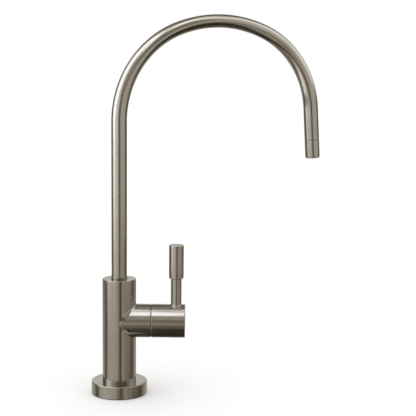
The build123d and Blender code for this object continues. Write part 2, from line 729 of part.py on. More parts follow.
# Outlet tip: a sleeve of the tube's own diameter, with a spigot that enters the tube. TIP
# is the spout's plane with its origin in the mouth and its second axis up along the leg.
MOUTH = ahead(bend_end, heading, LEG + SEAM + TIP_LENGTH)
LEAN = pi - heading
TIP = Plane(
    origin=SPOUT.x_dir * MOUTH[0] + Vector(0, 0, MOUTH[1]),
    x_dir=SPOUT.x_dir * cos(LEAN) + Vector(0, 0, sin(LEAN)),
    z_dir=SPOUT.z_dir,
)
TIP_AXIS = Axis(TIP.origin, TIP.y_dir)
TIP_RING_LOW = TIP_LENGTH + TIP_RING_RISE
SPIGOT_TOP = TIP_LENGTH + SPIGOT_LENGTH
with BuildPart() as outlet_tip:
    with BuildSketch(TIP):
        half_section(
            (MOUTH_R, 0),
            (TUBE_R, 0),
            (TUBE_R, TIP_LENGTH),
            (TUBE_R - TUBE_WALL - PRESS_GAP, TIP_LENGTH),
            (TUBE_R - TUBE_WALL - PRESS_GAP, TIP_RING_LOW),
            (TIP_RING_R, TIP_RING_LOW),
            (TIP_RING_R, TIP_RING_LOW + TIP_RING_WIDTH),
            (TUBE_R - TUBE_WALL - PRESS_GAP, TIP_RING_LOW + TIP_RING_WIDTH),
            (TUBE_R - TUBE_WALL - PRESS_GAP, SPIGOT_TOP),
            (NIPPLE_BORE_R, SPIGOT_TOP),
            (NIPPLE_BORE_R, STRAIGHTENER_TOP),
            (MOUTH_R, STRAIGHTENER_TOP),
        )
    revolve(axis=TIP_AXIS)
    outer_rims = outlet_tip.edges().filter_by(GeomType.CIRCLE).group_by(SortBy.RADIUS)[-1]
    fillet(outer_rims.sort_by(Axis.Z)[0], TIP_ROUND)
outlet_tip.part.label = "outlet_tip"
export_step(outlet_tip.part, "parts/outlet_tip.step")


# Thin washer that shows as the seam between the tube and the tip
with BuildPart() as tip_washer:
    with BuildSketch(TIP):
        band(TUBE_R - TUBE_WALL, TUBE_R - SEAM, TIP_LENGTH, TIP_LENGTH + SEAM)
    revolve(axis=TIP_AXIS)
tip_washer.part.label = "tip_washer"
export_step(tip_washer.part, "parts/tip_washer.step")


# Rubber ring that seals the tip in the tube
with BuildPart() as tip_o_ring:
    with BuildSketch(TIP) as ring_section:
        band(
            TIP_RING_R + RING_SKIN,
            TUBE_R - TUBE_WALL - RING_SKIN,
            TIP_RING_LOW + RING_PLAY,
            TIP_RING_LOW + TIP_RING_WIDTH - RING_PLAY,
        )
        fillet(ring_section.vertices(), SMALL_RING_ROUND)
    revolve(axis=TIP_AXIS)
tip_o_ring.part.label = "tip_o_ring"
export_step(tip_o_ring.part, "parts/tip_o_ring.step")


# Insert in the mouth of the tip that steadies the stream
STRAIGHTENER_LOW = Plane(
    origin=TIP.origin + TIP.y_dir * STRAIGHTENER_INSET, x_dir=TIP.x_dir, z_dir=TIP.y_dir
)
with BuildPart() as flow_straightener:
    with BuildSketch(STRAIGHTENER_LOW):
        Circle(MOUTH_R - PRESS_GAP)
        Circle(JET_R, mode=Mode.SUBTRACT)
        for ring_number in (1, 2):
            with PolarLocations(ring_number * JET_SPACING, 6 * ring_number):
                Circle(JET_R, mode=Mode.SUBTRACT)
    extrude(amount=STRAIGHTENER_TOP - STRAIGHTENER_INSET)
flow_straightener.part.label = "flow_straightener"
export_step(flow_straightener.part, "parts/flow_straightener.step")


# Rubber washer that bears on the underside of the worktop
with BuildPart() as rubber_washer:
    with BuildSketch(SIDE):
        band(WASHER_HOLE_R, CLAMP_R, -WORKTOP - RUBBER_THICK, -WORKTOP)
    revolve(axis=Axis.Z)
rubber_washer.part.label = "rubber_washer"
export_step(rubber_washer.part, "parts/rubber_washer.step")


# Steel plate washer
PLATE_TOP = -WORKTOP - RUBBER_THICK
with BuildPart() as clamp_washer:
    with BuildSketch(SIDE):
        band(WASHER_HOLE_R, CLAMP_R - EDGE, PLATE_TOP - PLATE_THICK, PLATE_TOP)
    revolve(axis=Axis.Z)
clamp_washer.part.label = "clamp_washer"
export_step(clamp_washer.part, "parts/clamp_washer.step")


# Lock washer with teeth round its rim
LOCK_TOP = PLATE_TOP - PLATE_THICK
with BuildPart() as lock_washer:
    with BuildSketch(Plane.XY.offset(LOCK_TOP)):
        Circle(LOCK_R)
        Circle(WASHER_HOLE_R, mode=Mode.SUBTRACT)
        with PolarLocations(LOCK_R, LOCK_TEETH):
            SlotOverall(LOCK_NOTCH_LENGTH, LOCK_NOTCH_WIDTH, mode=Mode.SUBTRACT)
    extrude(amount=-LOCK_THICK)
lock_washer.part.label = "lock_washer"
export_step(lock_washer.part, "parts/lock_washer.step")


# Hexagon nut, its corners turned off at both faces
NUT_TOP = LOCK_TOP - LOCK_THICK
NUT_CORNER_R = NUT_FLATS / (2 * cos(pi / 6))
with BuildPart() as mounting_nut:
    with BuildSketch(Plane.XY.offset(NUT_TOP)):
        RegularPolygon(NUT_FLATS / 2, 6, major_radius=False)
    extrude(amount=-NUT_THICK)
    with BuildSketch(SIDE):
        half_section(
            (0, NUT_TOP),
            (NUT_FLATS / 2, NUT_TOP),
            (NUT_CORNER_R + EDGE, NUT_TOP - NUT_CORNER_DROP),
            (NUT_CORNER_R + EDGE, NUT_TOP - NUT_THICK + NUT_CORNER_DROP),
            (NUT_FLATS / 2, NUT_TOP - NUT_THICK),
            (0, NUT_TOP - NUT_THICK),
        )
    revolve(axis=Axis.Z, mode=Mode.INTERSECT)
    with BuildSketch(Plane.XY.offset(NUT_TOP)):
        Circle(NUT_BORE_R)
    extrude(amount=-NUT_THICK, mode=Mode.SUBTRACT)
mounting_nut.part.label = "mounting_nut"
export_step(mounting_nut.part, "parts/mounting_nut.step")


# Push-fit adaptor on the foot of the shank
with BuildPart() as inlet_adaptor:
    with BuildSketch(Plane.XY.offset(ADAPTOR_TOP)):
        RegularPolygon(ADAPTOR_FLATS / 2, 6, major_radius=False)
    extrude(amount=ADAPTOR_HEX_LOW - ADAPTOR_TOP)
    with BuildSketch(Plane.XY.offset(ADAPTOR_HEX_LOW)):
        Circle(ADAPTOR_R)
    extrude(amount=ADAPTOR_LOW - ADAPTOR_HEX_LOW)
    chamfer(inlet_adaptor.edges().filter_by(GeomType.CIRCLE).sort_by(Axis.Z)[0], EDGE)
    with BuildSketch(SIDE):
        half_section(
            (0, ADAPTOR_TOP),
            (SHANK_R + THREAD_GAP, ADAPTOR_TOP),
            (SHANK_R + THREAD_GAP, SHANK_BOTTOM - SEAL_THICK),
            (INLET_R, SHANK_BOTTOM - SEAL_THICK),
            (INLET_R, TUBE_STOP),
            (TUBE_SEAT_R, TUBE_STOP),
            (TUBE_SEAT_R, RING_TOP),
            (RING_GROOVE_R, RING_TOP),
            (RING_GROOVE_R, RING_LOW),
            (COLLET_HOUSING_R, RING_LOW),
            (COLLET_HOUSING_R, LIP_TOP),
            (LIP_R, LIP_TOP),
            (LIP_R, ADAPTOR_LOW),
            (0, ADAPTOR_LOW),
        )
    revolve(axis=Axis.Z, mode=Mode.SUBTRACT)
inlet_adaptor.part.label = "inlet_adaptor"
export_step(inlet_adaptor.part, "parts/inlet_adaptor.step")


# Washer that seals the foot of the shank in the adaptor
with BuildPart() as adaptor_washer:
    with BuildSketch(SIDE):
        band(SEAL_BORE_R, SHANK_R, SHANK_BOTTOM - SEAL_THICK, SHANK_BOTTOM)
    revolve(axis=Axis.Z)
adaptor_washer.part.label = "adaptor_washer"
export_step(adaptor_washer.part, "parts/adaptor_washer.step")


# Rubber ring that grips the supply tube
with BuildPart() as adaptor_o_ring:
    with BuildSketch(SIDE) as ring_section:
        band(
            TUBE_SEAT_R + RING_SKIN,
            RING_GROOVE_R - RING_SKIN,
            RING_LOW + RING_SKIN,
            RING_TOP - RING_SKIN,
        )
        fillet(ring_section.vertices(), RING_ROUND)
    revolve(axis=Axis.Z)
adaptor_o_ring.part.label = "adaptor_o_ring"
export_step(adaptor_o_ring.part, "parts/adaptor_o_ring.step")


# Collet: pushed up, it opens its jaws and lets the tube go
with BuildPart() as release_collet:
    with BuildSketch(SIDE):
        half_section(
            (COLLET_BORE_R, COLLET_LOW),
            (COLLET_FLANGE_R, COLLET_LOW),
            (COLLET_FLANGE_R, COLLET_LOW + COLLET_FLANGE_THICK),
            (COLLET_R, COLLET_LOW + COLLET_FLANGE_THICK),
            (COLLET_R, LIP_TOP),
            (COLLET_BARB_R, LIP_TOP),
            (COLLET_R, COLLET_TOP),
            (COLLET_BORE_R, COLLET_TOP),
        )
    revolve(axis=Axis.Z)
    # Slits that part the jaws
    with BuildSketch(Plane.XY.offset(COLLET_TOP)):
        for turn in (0, 90):
            Rectangle(4 * COLLET_R, SLIT_WIDTH, rotation=turn)
    extrude(amount=ADAPTOR_LOW - COLLET_TOP, mode=Mode.SUBTRACT)
release_collet.part.label = "release_collet"
export_step(release_collet.part, "parts/release_collet.step")
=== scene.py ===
"""Looks of a drinking water faucet in brushed nickel.

The pieces that show above the worktop are turned, bent and dressed here, in metres, round
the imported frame. The seals, the valve and the clamp keep their solids and get finishes.
"""

import logging
import math
from collections.abc import Sequence
from dataclasses import dataclass
from enum import Enum, IntEnum
from functools import cached_property, partial

import bmesh
import bpy
from bmesh.types import BMesh, BMEdge, BMFace, BMVert
from mathutils import Matrix, Vector


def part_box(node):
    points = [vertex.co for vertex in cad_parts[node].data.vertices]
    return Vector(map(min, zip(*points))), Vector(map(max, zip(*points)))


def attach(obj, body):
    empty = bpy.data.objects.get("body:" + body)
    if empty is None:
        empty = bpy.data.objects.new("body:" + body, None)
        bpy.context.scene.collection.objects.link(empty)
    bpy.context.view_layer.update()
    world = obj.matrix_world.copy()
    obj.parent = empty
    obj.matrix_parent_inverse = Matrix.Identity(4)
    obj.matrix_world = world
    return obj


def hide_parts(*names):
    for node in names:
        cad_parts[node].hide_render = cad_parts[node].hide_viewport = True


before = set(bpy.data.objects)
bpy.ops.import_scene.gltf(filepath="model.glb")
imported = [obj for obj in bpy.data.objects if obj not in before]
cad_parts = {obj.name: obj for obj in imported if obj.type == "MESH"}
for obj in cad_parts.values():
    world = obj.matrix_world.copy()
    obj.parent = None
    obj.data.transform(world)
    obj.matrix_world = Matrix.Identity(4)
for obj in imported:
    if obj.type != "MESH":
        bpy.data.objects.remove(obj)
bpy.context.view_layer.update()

MM = 0.001
TURN = 2 * math.pi
MERGE = 0.002 * MM
ROUNDING_STEPS = 4
SHARP_ANGLE = math.radians(34)
log = logging.getLogger("faucet")

Number = "float | Wire"
Finish = "Nickel | PlainMetal | Moulded | Fibre | Ceramic"
Colour = tuple[float, float, float]


# Shader maths


class Wire:
    """An output socket of a shader node, with the operators of a number."""

    def __init__(self, graph: "Graph", socket: bpy.types.NodeSocket) -> None:
        """Wraps a socket.

        Args:
            graph: the node tree that the socket is in.
            socket: the output to wrap.
        """
        self.graph = graph
        self.socket = socket

    def maths(self, operation: str, *others: Number, swap: bool = False) -> "Wire":
        """Adds a Math node after this socket.

        Args:
            operation: the node's operation.
            others: its further values.
            swap: puts this socket second.

        Returns:
            The result.
        """
        values = [self, *others]
        if swap:
            values.reverse()
        return self.graph.add("Math", {"operation": operation}, *values)

    def __add__(self, other: Number) -> "Wire":
        """This plus other."""
        return self.maths("ADD", other)

    def __sub__(self, other: Number) -> "Wire":
        """This minus other."""
        return self.maths("SUBTRACT", other)

    def __mul__(self, other: Number) -> "Wire":
        """This times other."""
        return self.maths("MULTIPLY", other)

    def __truediv__(self, other: Number) -> "Wire":
        """This over other."""
        return self.maths("DIVIDE", other)

    def __pow__(self, other: Number) -> "Wire":
        """This to the power of other."""
        return self.maths("POWER", other)

    def __rsub__(self, other: Number) -> "Wire":
        """Other minus this."""
        return self.maths("SUBTRACT", other, swap=True)

    def __rtruediv__(self, other: Number) -> "Wire":
        """Other over this."""
        return self.maths("DIVIDE", other, swap=True)

    def __neg__(self) -> "Wire":
        """This with its sign turned."""
        return self.maths("MULTIPLY", -1.0)

    __radd__ = __add__
    __rmul__ = __mul__

    def rise(self, low: float, high: float) -> "Wire":
        """A smooth step from 0 at low to 1 at high."""
        return self.graph.add("MapRange", {"interpolation_type": "SMOOTHSTEP"}, self, low, high)

    def within(self, low: float, high: float, soft: float) -> "Wire":
        """A mask that is 1 from low to high and fades over soft on each side."""
        start = self.rise(low - soft, low + soft)
        return start * (1 - self.rise(high - soft, high + soft))


class Graph:
    """The node tree of one material, built by expressions.

    A Mix node keeps its colours at the numbers below.
    """

    MIX_LOW = 6
    MIX_HIGH = 7
    MIX_RESULT = 2

    def __init__(self, name: str) -> None:
        """Starts an empty material.

        Args:
            name: the material's name.
        """
        self.material = bpy.data.materials.new(name)
        self.material.use_nodes = True
        self.tree = self.material.node_tree
        self.tree.nodes.clear()

    def node(
        self, kind: str, settings: dict[str, object], *values: object, **named: object
    ) -> bpy.types.Node:
        """Adds a node.

        Args:
            kind: its type, without the leading ShaderNode.
            settings: its properties.
            values: numbers or wires for its first inputs, in order; None leaves one alone.
            named: numbers or wires by input name, with _ for a space.

        Returns:
            The node.
        """
        node = self.tree.nodes.new(f"ShaderNode{kind}")
        for name, setting in settings.items():
            setattr(node, name, setting)
        pairs = list(zip(node.inputs, values))
        pairs += [(node.inputs[name.replace("_", " ")], value) for name, value in named.items()]
        for socket, value in pairs:
            if isinstance(value, Wire):
                self.tree.links.new(value.socket, socket)
            elif value is not None:
                socket.default_value = value
        return node

    def add(
        self, kind: str, settings: dict[str, object], *values: object, out: str = "", **named: object
    ) -> Wire:
        """Adds a node and gives one of its outputs.

        Args:
            kind: the node's type.
            settings: its properties.
            values: its first inputs.
            out: the output's name; the first one if empty.
            named: further inputs by name.

        Returns:
            The output.
        """
        node = self.node(kind, settings, *values, **named)
        return Wire(self, node.outputs[out] if out else node.outputs[0])

    @cached_property
    def place(self) -> Wire:
        """The Object coordinates."""
        return self.add("TexCoord", {}, out="Object")

    def axes(self, vector: Wire) -> tuple[Wire, Wire, Wire]:
        """The three components of a vector."""
        split = self.node("SeparateXYZ", {}, vector)
        return tuple(Wire(self, output) for output in split.outputs)

    def join(self, x: Number, y: Number, z: Number) -> Wire:
        """A vector of three numbers."""
        return self.add("CombineXYZ", {}, x, y, z)

    def noise(self, place: Wire, scale: float, detail: float = 2.0, rough: float = 0.5) -> Wire:
        """Even noise about 0.5.

        Args:
            place: the coordinates to read.
            scale: its frequency, in cells to the metre.
            detail: how many finer layers are added.
            rough: how strong these are.

        Returns:
            The noise.
        """
        return self.add(
            "TexNoise", {"noise_dimensions": "3D"}, Vector=place, Scale=scale,
            Detail=detail, Roughness=rough, out="Fac",
        )

    def mix(self, share: Number, low: Colour, high: Colour) -> Wire:
        """Blends two colours.

        Args:
            share: 0 gives low and 1 gives high.
            low: one colour.
            high: the other colour.

        Returns:
            The blend.
        """
        node = self.node("Mix", {"data_type": "RGBA"}, share)
        node.inputs[self.MIX_LOW].default_value = (*low, 1.0)
        node.inputs[self.MIX_HIGH].default_value = (*high, 1.0)
        return Wire(self, node.outputs[self.MIX_RESULT])

    def bump(self, height: Wire, depth: float) -> Wire:
        """A normal bent by a relief of 0 to 1 that is so deep, in metres."""
        return self.add("Bump", {}, Height=height, Distance=depth, out="Normal")

    def surface(self, **sockets: object) -> bpy.types.Material:
        """Ends the tree in a Principled shader.

        Args:
            sockets: its inputs by name, with _ for a space.

        Returns:
            The material.
        """
        shader = self.add("BsdfPrincipled", {}, **sockets)
        self.node("OutputMaterial", {}, shader)
        return self.material


# Finishes


class Lay(Enum):
    """The axis that the fine lines of a finish run round."""

    UPRIGHT = "upright"
    LEVEL = "level"
    BENT_TUBE = "bent tube"


@dataclass(frozen=True)
class Lines:
    """Fine lines left by a brush or a tool, round an axis through a point in metres."""

    lay: Lay
    centre: tuple[float, float, float] = (0.0, 0.0, 0.0)
    width: float = 0.4 * MM
    reach: float = 6.0 * MM

    def draw(self, graph: Graph) -> Wire:
        """Adds the lines to a finish.

        Args:
            graph: the node tree of the finish.

        Returns:
            Noise that is long round the axis, and short along it and out from it.
        """
        if self.lay is Lay.BENT_TUBE:
            place = graph.add("Attribute", {"attribute_name": Gooseneck.STRAIGHT}, out="Vector")
        else:
            place = graph.add("VectorMath", {"operation": "SUBTRACT"}, graph.place, self.centre)
        x, y, z = graph.axes(place)
        if self.lay is Lay.LEVEL:
            x, z = z, x
        out = (x * x + y * y) ** 0.5
        stretched = graph.join(x / self.reach, y / self.reach, (z + out) / self.width)
        return graph.noise(stretched, 1.0, detail=4.0, rough=0.65)


@dataclass(frozen=True)
class Nickel:
    """Satin nickel plate over brass, brushed round the axis of each piece."""

    lines: Lines
    colour: Colour = (0.62, 0.585, 0.515)
    film: Colour = (0.55, 0.512, 0.44)
    roughness: float = 0.17
    cloud: float = 45.0
    grain: float = 1400.0
    depth: float = 0.002 * MM

    def material(self) -> bpy.types.Material:
        """Makes the finish.

        Returns:
            The material, with its brush lines, its cloudy film and its fine grain.
        """
        graph = Graph(f"nickel_{self.lines.lay.name.lower()}")
        lines = self.lines.draw(graph)
        cloud = graph.noise(graph.place, self.cloud)
        grain = graph.noise(graph.place, self.grain)
        streaks = lines.rise(0.25, 0.75)
        shade = cloud.rise(0.35, 0.7) * 0.5 + streaks * 0.3 + grain.rise(0.3, 0.7) * 0.2
        return graph.surface(
            Base_Color=graph.mix(shade, self.colour, self.film),
            Metallic=1.0,
            Roughness=self.roughness + (streaks - 0.5) * 0.05 + (cloud - 0.5) * 0.06,
            Normal=graph.bump(lines * 0.8 + grain * 0.2, self.depth),
        )


@dataclass(frozen=True)
class PlainMetal:
    """Bare or plated metal as it left the lathe or the press, dulled in patches."""

    name: str
    lines: Lines
    colour: Colour
    dull: Colour
    roughness: float
    depth: float
    patches: float = 160.0
    specks: float = 2600.0

    def material(self) -> bpy.types.Material:
        """Makes the finish.

        Returns:
            The material, with its tool marks and its dull patches.
        """
        graph = Graph(f"{self.name}_{self.lines.lay.name.lower()}")
        lines = self.lines.draw(graph)
        patches = graph.noise(graph.place, self.patches, detail=4.0, rough=0.6).rise(0.4, 0.68)
        specks = graph.noise(graph.place, self.specks).rise(0.6, 0.75)
        shade = patches * 0.7 + lines.rise(0.3, 0.7) * 0.15 + specks * 0.15
        return graph.surface(
            Base_Color=graph.mix(shade, self.colour, self.dull),
            Metallic=1.0,
            Roughness=self.roughness + patches * 0.14 + (lines - 0.5) * 0.1,
            Normal=graph.bump(lines, self.depth),
        )


@dataclass(frozen=True)
class Moulded:
    """Rubber or plastic from a mould or a lathe, with a fine grain and a faint bloom."""

    name: str
    colour: Colour
    bloom: Colour
    roughness: float
    grain: float
    depth: float
    cloud: float = 220.0

    def material(self) -> bpy.types.Material:
        """Makes the finish.

        Returns:
            The material, with its grain, its bloom and its small pits.
        """
        graph = Graph(self.name)
        grain = graph.noise(graph.place, self.grain, detail=3.0, rough=0.55)
        bloom = graph.noise(graph.place, self.cloud, detail=4.0, rough=0.6).rise(0.42, 0.72)
        pits = graph.noise(graph.place, self.grain * 0.4).rise(0.68, 0.76)
        return graph.surface(
            Base_Color=graph.mix(bloom * 0.8 + grain * 0.2, self.colour, self.bloom),
            Roughness=self.roughness + bloom * 0.1 - pits * 0.08,
            Normal=graph.bump(grain * 0.7 - pits * 0.3, self.depth),
        )


# Dull nickel for the cartridge. Its dark colour is also painted shade, so that the narrow seam
# between the hub and the branch reads dark.
DULL_NICKEL_AND_SEAM_SHADE = partial(
    PlainMetal, "dull_nickel_and_seam_shade", colour=(0.32, 0.3, 0.255), dull=(0.22, 0.205, 0.17),
    roughness=0.45, depth=0.002 * MM,
)
BRASS = partial(
    PlainMetal, "brass", colour=(0.72, 0.55, 0.28), dull=(0.5, 0.36, 0.17), roughness=0.22,
    depth=0.004 * MM,
)
STEEL = partial(
    PlainMetal, "zinc_plate", colour=(0.68, 0.69, 0.7), dull=(0.5, 0.5, 0.47), roughness=0.28,
    depth=0.003 * MM,
)
RUBBER = Moulded(
    "rubber", colour=(0.028, 0.028, 0.028), bloom=(0.06, 0.06, 0.058), roughness=0.7,
    grain=2600.0, depth=0.02 * MM,
)
DARK_PLASTIC = Moulded(
    "dark_plastic", colour=(0.045, 0.045, 0.045), bloom=(0.07, 0.07, 0.068), roughness=0.4,
    grain=3400.0, depth=0.008 * MM,
)
WHITE_PLASTIC = Moulded(
    "white_plastic", colour=(0.85, 0.85, 0.83), bloom=(0.78, 0.77, 0.73), roughness=0.38,
    grain=3000.0, depth=0.008 * MM,
)


@dataclass(frozen=True)
class Fibre:
    """Red sheet fibre, pressed from short flat threads."""

    colour: Colour = (0.45, 0.12, 0.08)
    thread: Colour = (0.56, 0.2, 0.13)
    roughness: float = 0.8
    depth: float = 0.02 * MM

    def material(self) -> bpy.types.Material:
        """Makes the finish.

        Returns:
            The material, with threads that lie across one another in the sheet.
        """
        graph = Graph("sheet_fibre")
        x, y, z = graph.axes(graph.place)
        one_way = graph.noise(graph.join(x * 300, y * 3000, z * 5000), 1.0)
        other_way = graph.noise(graph.join(x * 3000, y * 300, z * 5000), 1.0)
        threads = one_way.maths("MAXIMUM", other_way).rise(0.5, 0.75)
        return graph.surface(
            Base_Color=graph.mix(threads, self.colour, self.thread),
            Roughness=self.roughness + threads * 0.1,
            Normal=graph.bump(threads, self.depth),
        )


@dataclass(frozen=True)
class Ceramic:
    """Fired alumina with lapped faces."""

    colour: Colour = (0.9, 0.89, 0.85)
    pore: Colour = (0.72, 0.7, 0.64)
    roughness: float = 0.16
    pores: float = 3500.0
    lapping: float = 500.0
    depth: float = 0.004 * MM

    def material(self) -> bpy.types.Material:
        """Makes the finish.

        Returns:
            The material, with its closed pores and its faint lapping marks.
        """
        graph = Graph("lapped_ceramic")
        pores = graph.noise(graph.place, self.pores, detail=3.0).rise(0.62, 0.72)
        lapping = graph.noise(graph.place, self.lapping, detail=4.0, rough=0.7)
        return graph.surface(
            Base_Color=graph.mix(pores, self.colour, self.pore),
            Roughness=self.roughness + pores * 0.3 + lapping * 0.08,
            Normal=graph.bump(lapping * 0.3 - pores * 0.7, self.depth),
        )


# Outlines and turned shapes


class Round(IntEnum):
    """How many faces go round a turned piece."""

    THIN = 64
    SLIM = 96
    BROAD = 128
    WIDE = 192


@dataclass(frozen=True)
class Corner:
    """A corner of a turned outline: its radius, its place along the axis and its rounding."""

    radius: float
    along: float
    rounding: float = 0.0


def hollow(radius: float, along: float, size: float, steps: int = 5) -> list[Corner]:
    """The corners of a hollow quarter round, from its wide foot to the shaft that it meets.

    Args:
        radius: the shaft's radius.
        along: the place of the foot.
        size: the radius of the hollow.
        steps: how many straight runs it has.

    Returns:
        The corners.
    """
    angles = [math.pi / 2 * step / steps for step in range(steps + 1)]
    return [
        Corner(radius + size * (1 - math.sin(a)), along + size * (1 - math.cos(a))) for a in angles
    ]


def place_mesh(name: str, mesh: BMesh) -> bpy.types.Object:
    """Puts a finished mesh into the scene.

    Args:
        name: the name of its object.
        mesh: the mesh, which is used up.

    Returns:
        The object.
    """
    data = bpy.data.meshes.new(name)
    mesh.to_mesh(data)
    mesh.free()
    made = bpy.data.objects.new(name, data)
    bpy.context.scene.collection.objects.link(made)
    return made


def draw_in(vert: BMVert, radius: float) -> None:
    """Moves a vertex to a radius about the Z axis, in metres."""
    share = radius / vert.co.xy.length
    vert.co = (vert.co.x * share, vert.co.y * share, vert.co.z)


class Turned:
    """A mesh made by turning outlines about the Z axis."""

    def __init__(self) -> None:
        """Starts an empty mesh."""
        self.mesh: BMesh = bmesh.new()

    def outline(self, corners: Sequence[Corner], closed: bool = False) -> list[BMVert | BMEdge]:
        """Draws an outline in the plane of X and Z, and rounds its corners.

        Args:
            corners: its corners in order, in millimetres.
            closed: joins the last corner to the first.

        Returns:
            Its vertices and edges.
        """
        before = set(self.mesh.verts)
        edges_before = set(self.mesh.edges)
        verts = [self.mesh.verts.new((c.radius * MM, 0, c.along * MM)) for c in corners]
        ends = list(zip(verts, verts[1:]))
        if closed:
            ends.append((verts[-1], verts[0]))
        for pair in ends:
            self.mesh.edges.new(pair)
        for vert, corner in zip(verts, corners):
            if corner.rounding:
                bmesh.ops.bevel(
                    self.mesh, geom=[vert], affect="VERTICES", offset=corner.rounding * MM,
                    offset_type="OFFSET", segments=ROUNDING_STEPS, profile=0.5, material=-1,
                )
        made: list[BMVert | BMEdge] = [v for v in self.mesh.verts if v not in before]
        made += [e for e in self.mesh.edges if e not in edges_before]
        return made

    def turn(self, outline: Sequence[BMVert | BMEdge], steps: int) -> None:
        """Turns an outline a full turn about the Z axis.

        Args:
            outline: its vertices and edges.
            steps: how many faces go round.
        """
        bmesh.ops.spin(
            self.mesh, geom=list(outline), cent=(0, 0, 0), axis=(0, 0, 1), dvec=(0, 0, 0),
            angle=TURN, steps=steps, use_merge=True, use_duplicate=False,
        )

    def lathe(self, corners: Sequence[Corner], steps: int, closed: bool = False) -> None:
        """Draws an outline and turns it.

        Args:
            corners: its corners in order, in millimetres.
            steps: how many faces go round.
            closed: joins the last corner to the first.
        """
        self.turn(self.outline(corners, closed), steps)

    def move(self, matrix: Matrix) -> None:
        """Moves the whole mesh."""
        bmesh.ops.transform(self.mesh, matrix=matrix, verts=self.mesh.verts)

    def remember(self, name: str) -> None:
        """Keeps the present place of each vertex as an attribute.

        Args:
            name: the attribute's name.
        """
        layer = self.mesh.verts.layers.float_vector.new(name)
        for vert in self.mesh.verts:
            vert[layer] = vert.co.copy()

    def take(self, other: "Turned") -> None:
        """Takes over the mesh of another shape.

        Args:
            other: the shape, whose mesh is used up.
        """
        held = bpy.data.meshes.new("held")
        other.mesh.to_mesh(held)
        other.mesh.free()
        self.mesh.from_mesh(held)
        bpy.data.meshes.remove(held)

    def clean(self) -> None:
        """Merges what lies in one place and turns every face outwards."""
        bmesh.ops.remove_doubles(self.mesh, verts=self.mesh.verts, dist=MERGE)
        bmesh.ops.dissolve_degenerate(self.mesh, edges=self.mesh.edges, dist=MERGE)
        bmesh.ops.recalc_face_normals(self.mesh, faces=self.mesh.faces)

    def piece(
        self, name: str, body: str, node: str, finish: Finish
    ) -> None:
        """Makes the mesh an object that stands for a solid of the frame, and dresses it.

        Args:
            name: the object's name.
            body: the body that it moves with.
            node: the solid that it replaces.
            finish: its finish.
        """
        made = place_mesh(name, self.mesh)
        made.data.shade_smooth()
        made.data.set_sharp_from_angle(angle=SHARP_ANGLE)
        weights = made.modifiers.new("even shading", "WEIGHTED_NORMAL")
        weights.keep_sharp = True
        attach(made, body)
        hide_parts(node)
        log.info("%s: %d faces, for %s on %s", name, len(made.data.polygons), node, body)
        made.data.materials.append(finish.material())


def level_frame(height: float) -> Matrix:
    """Lays a shape turned about the Z axis along the X axis, at a height in millimetres."""
    return Matrix.Translation((0, 0, height * MM)) @ Matrix.Rotation(math.pi / 2, 4, "Y")


def valve_lines(height: float) -> Lines:
    """The tool lines of a piece turned about the level axis of the valve."""
    return Lines(Lay.LEVEL, (0.0, 0.0, height * MM))


def low(node: str) -> Vector:
    """The lowest corner of a solid's box, in millimetres."""
    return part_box(node)[0] / MM


def high(node: str) -> Vector:
    """The highest corner of a solid's box, in millimetres."""
    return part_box(node)[1] / MM


# Sub-assemblies


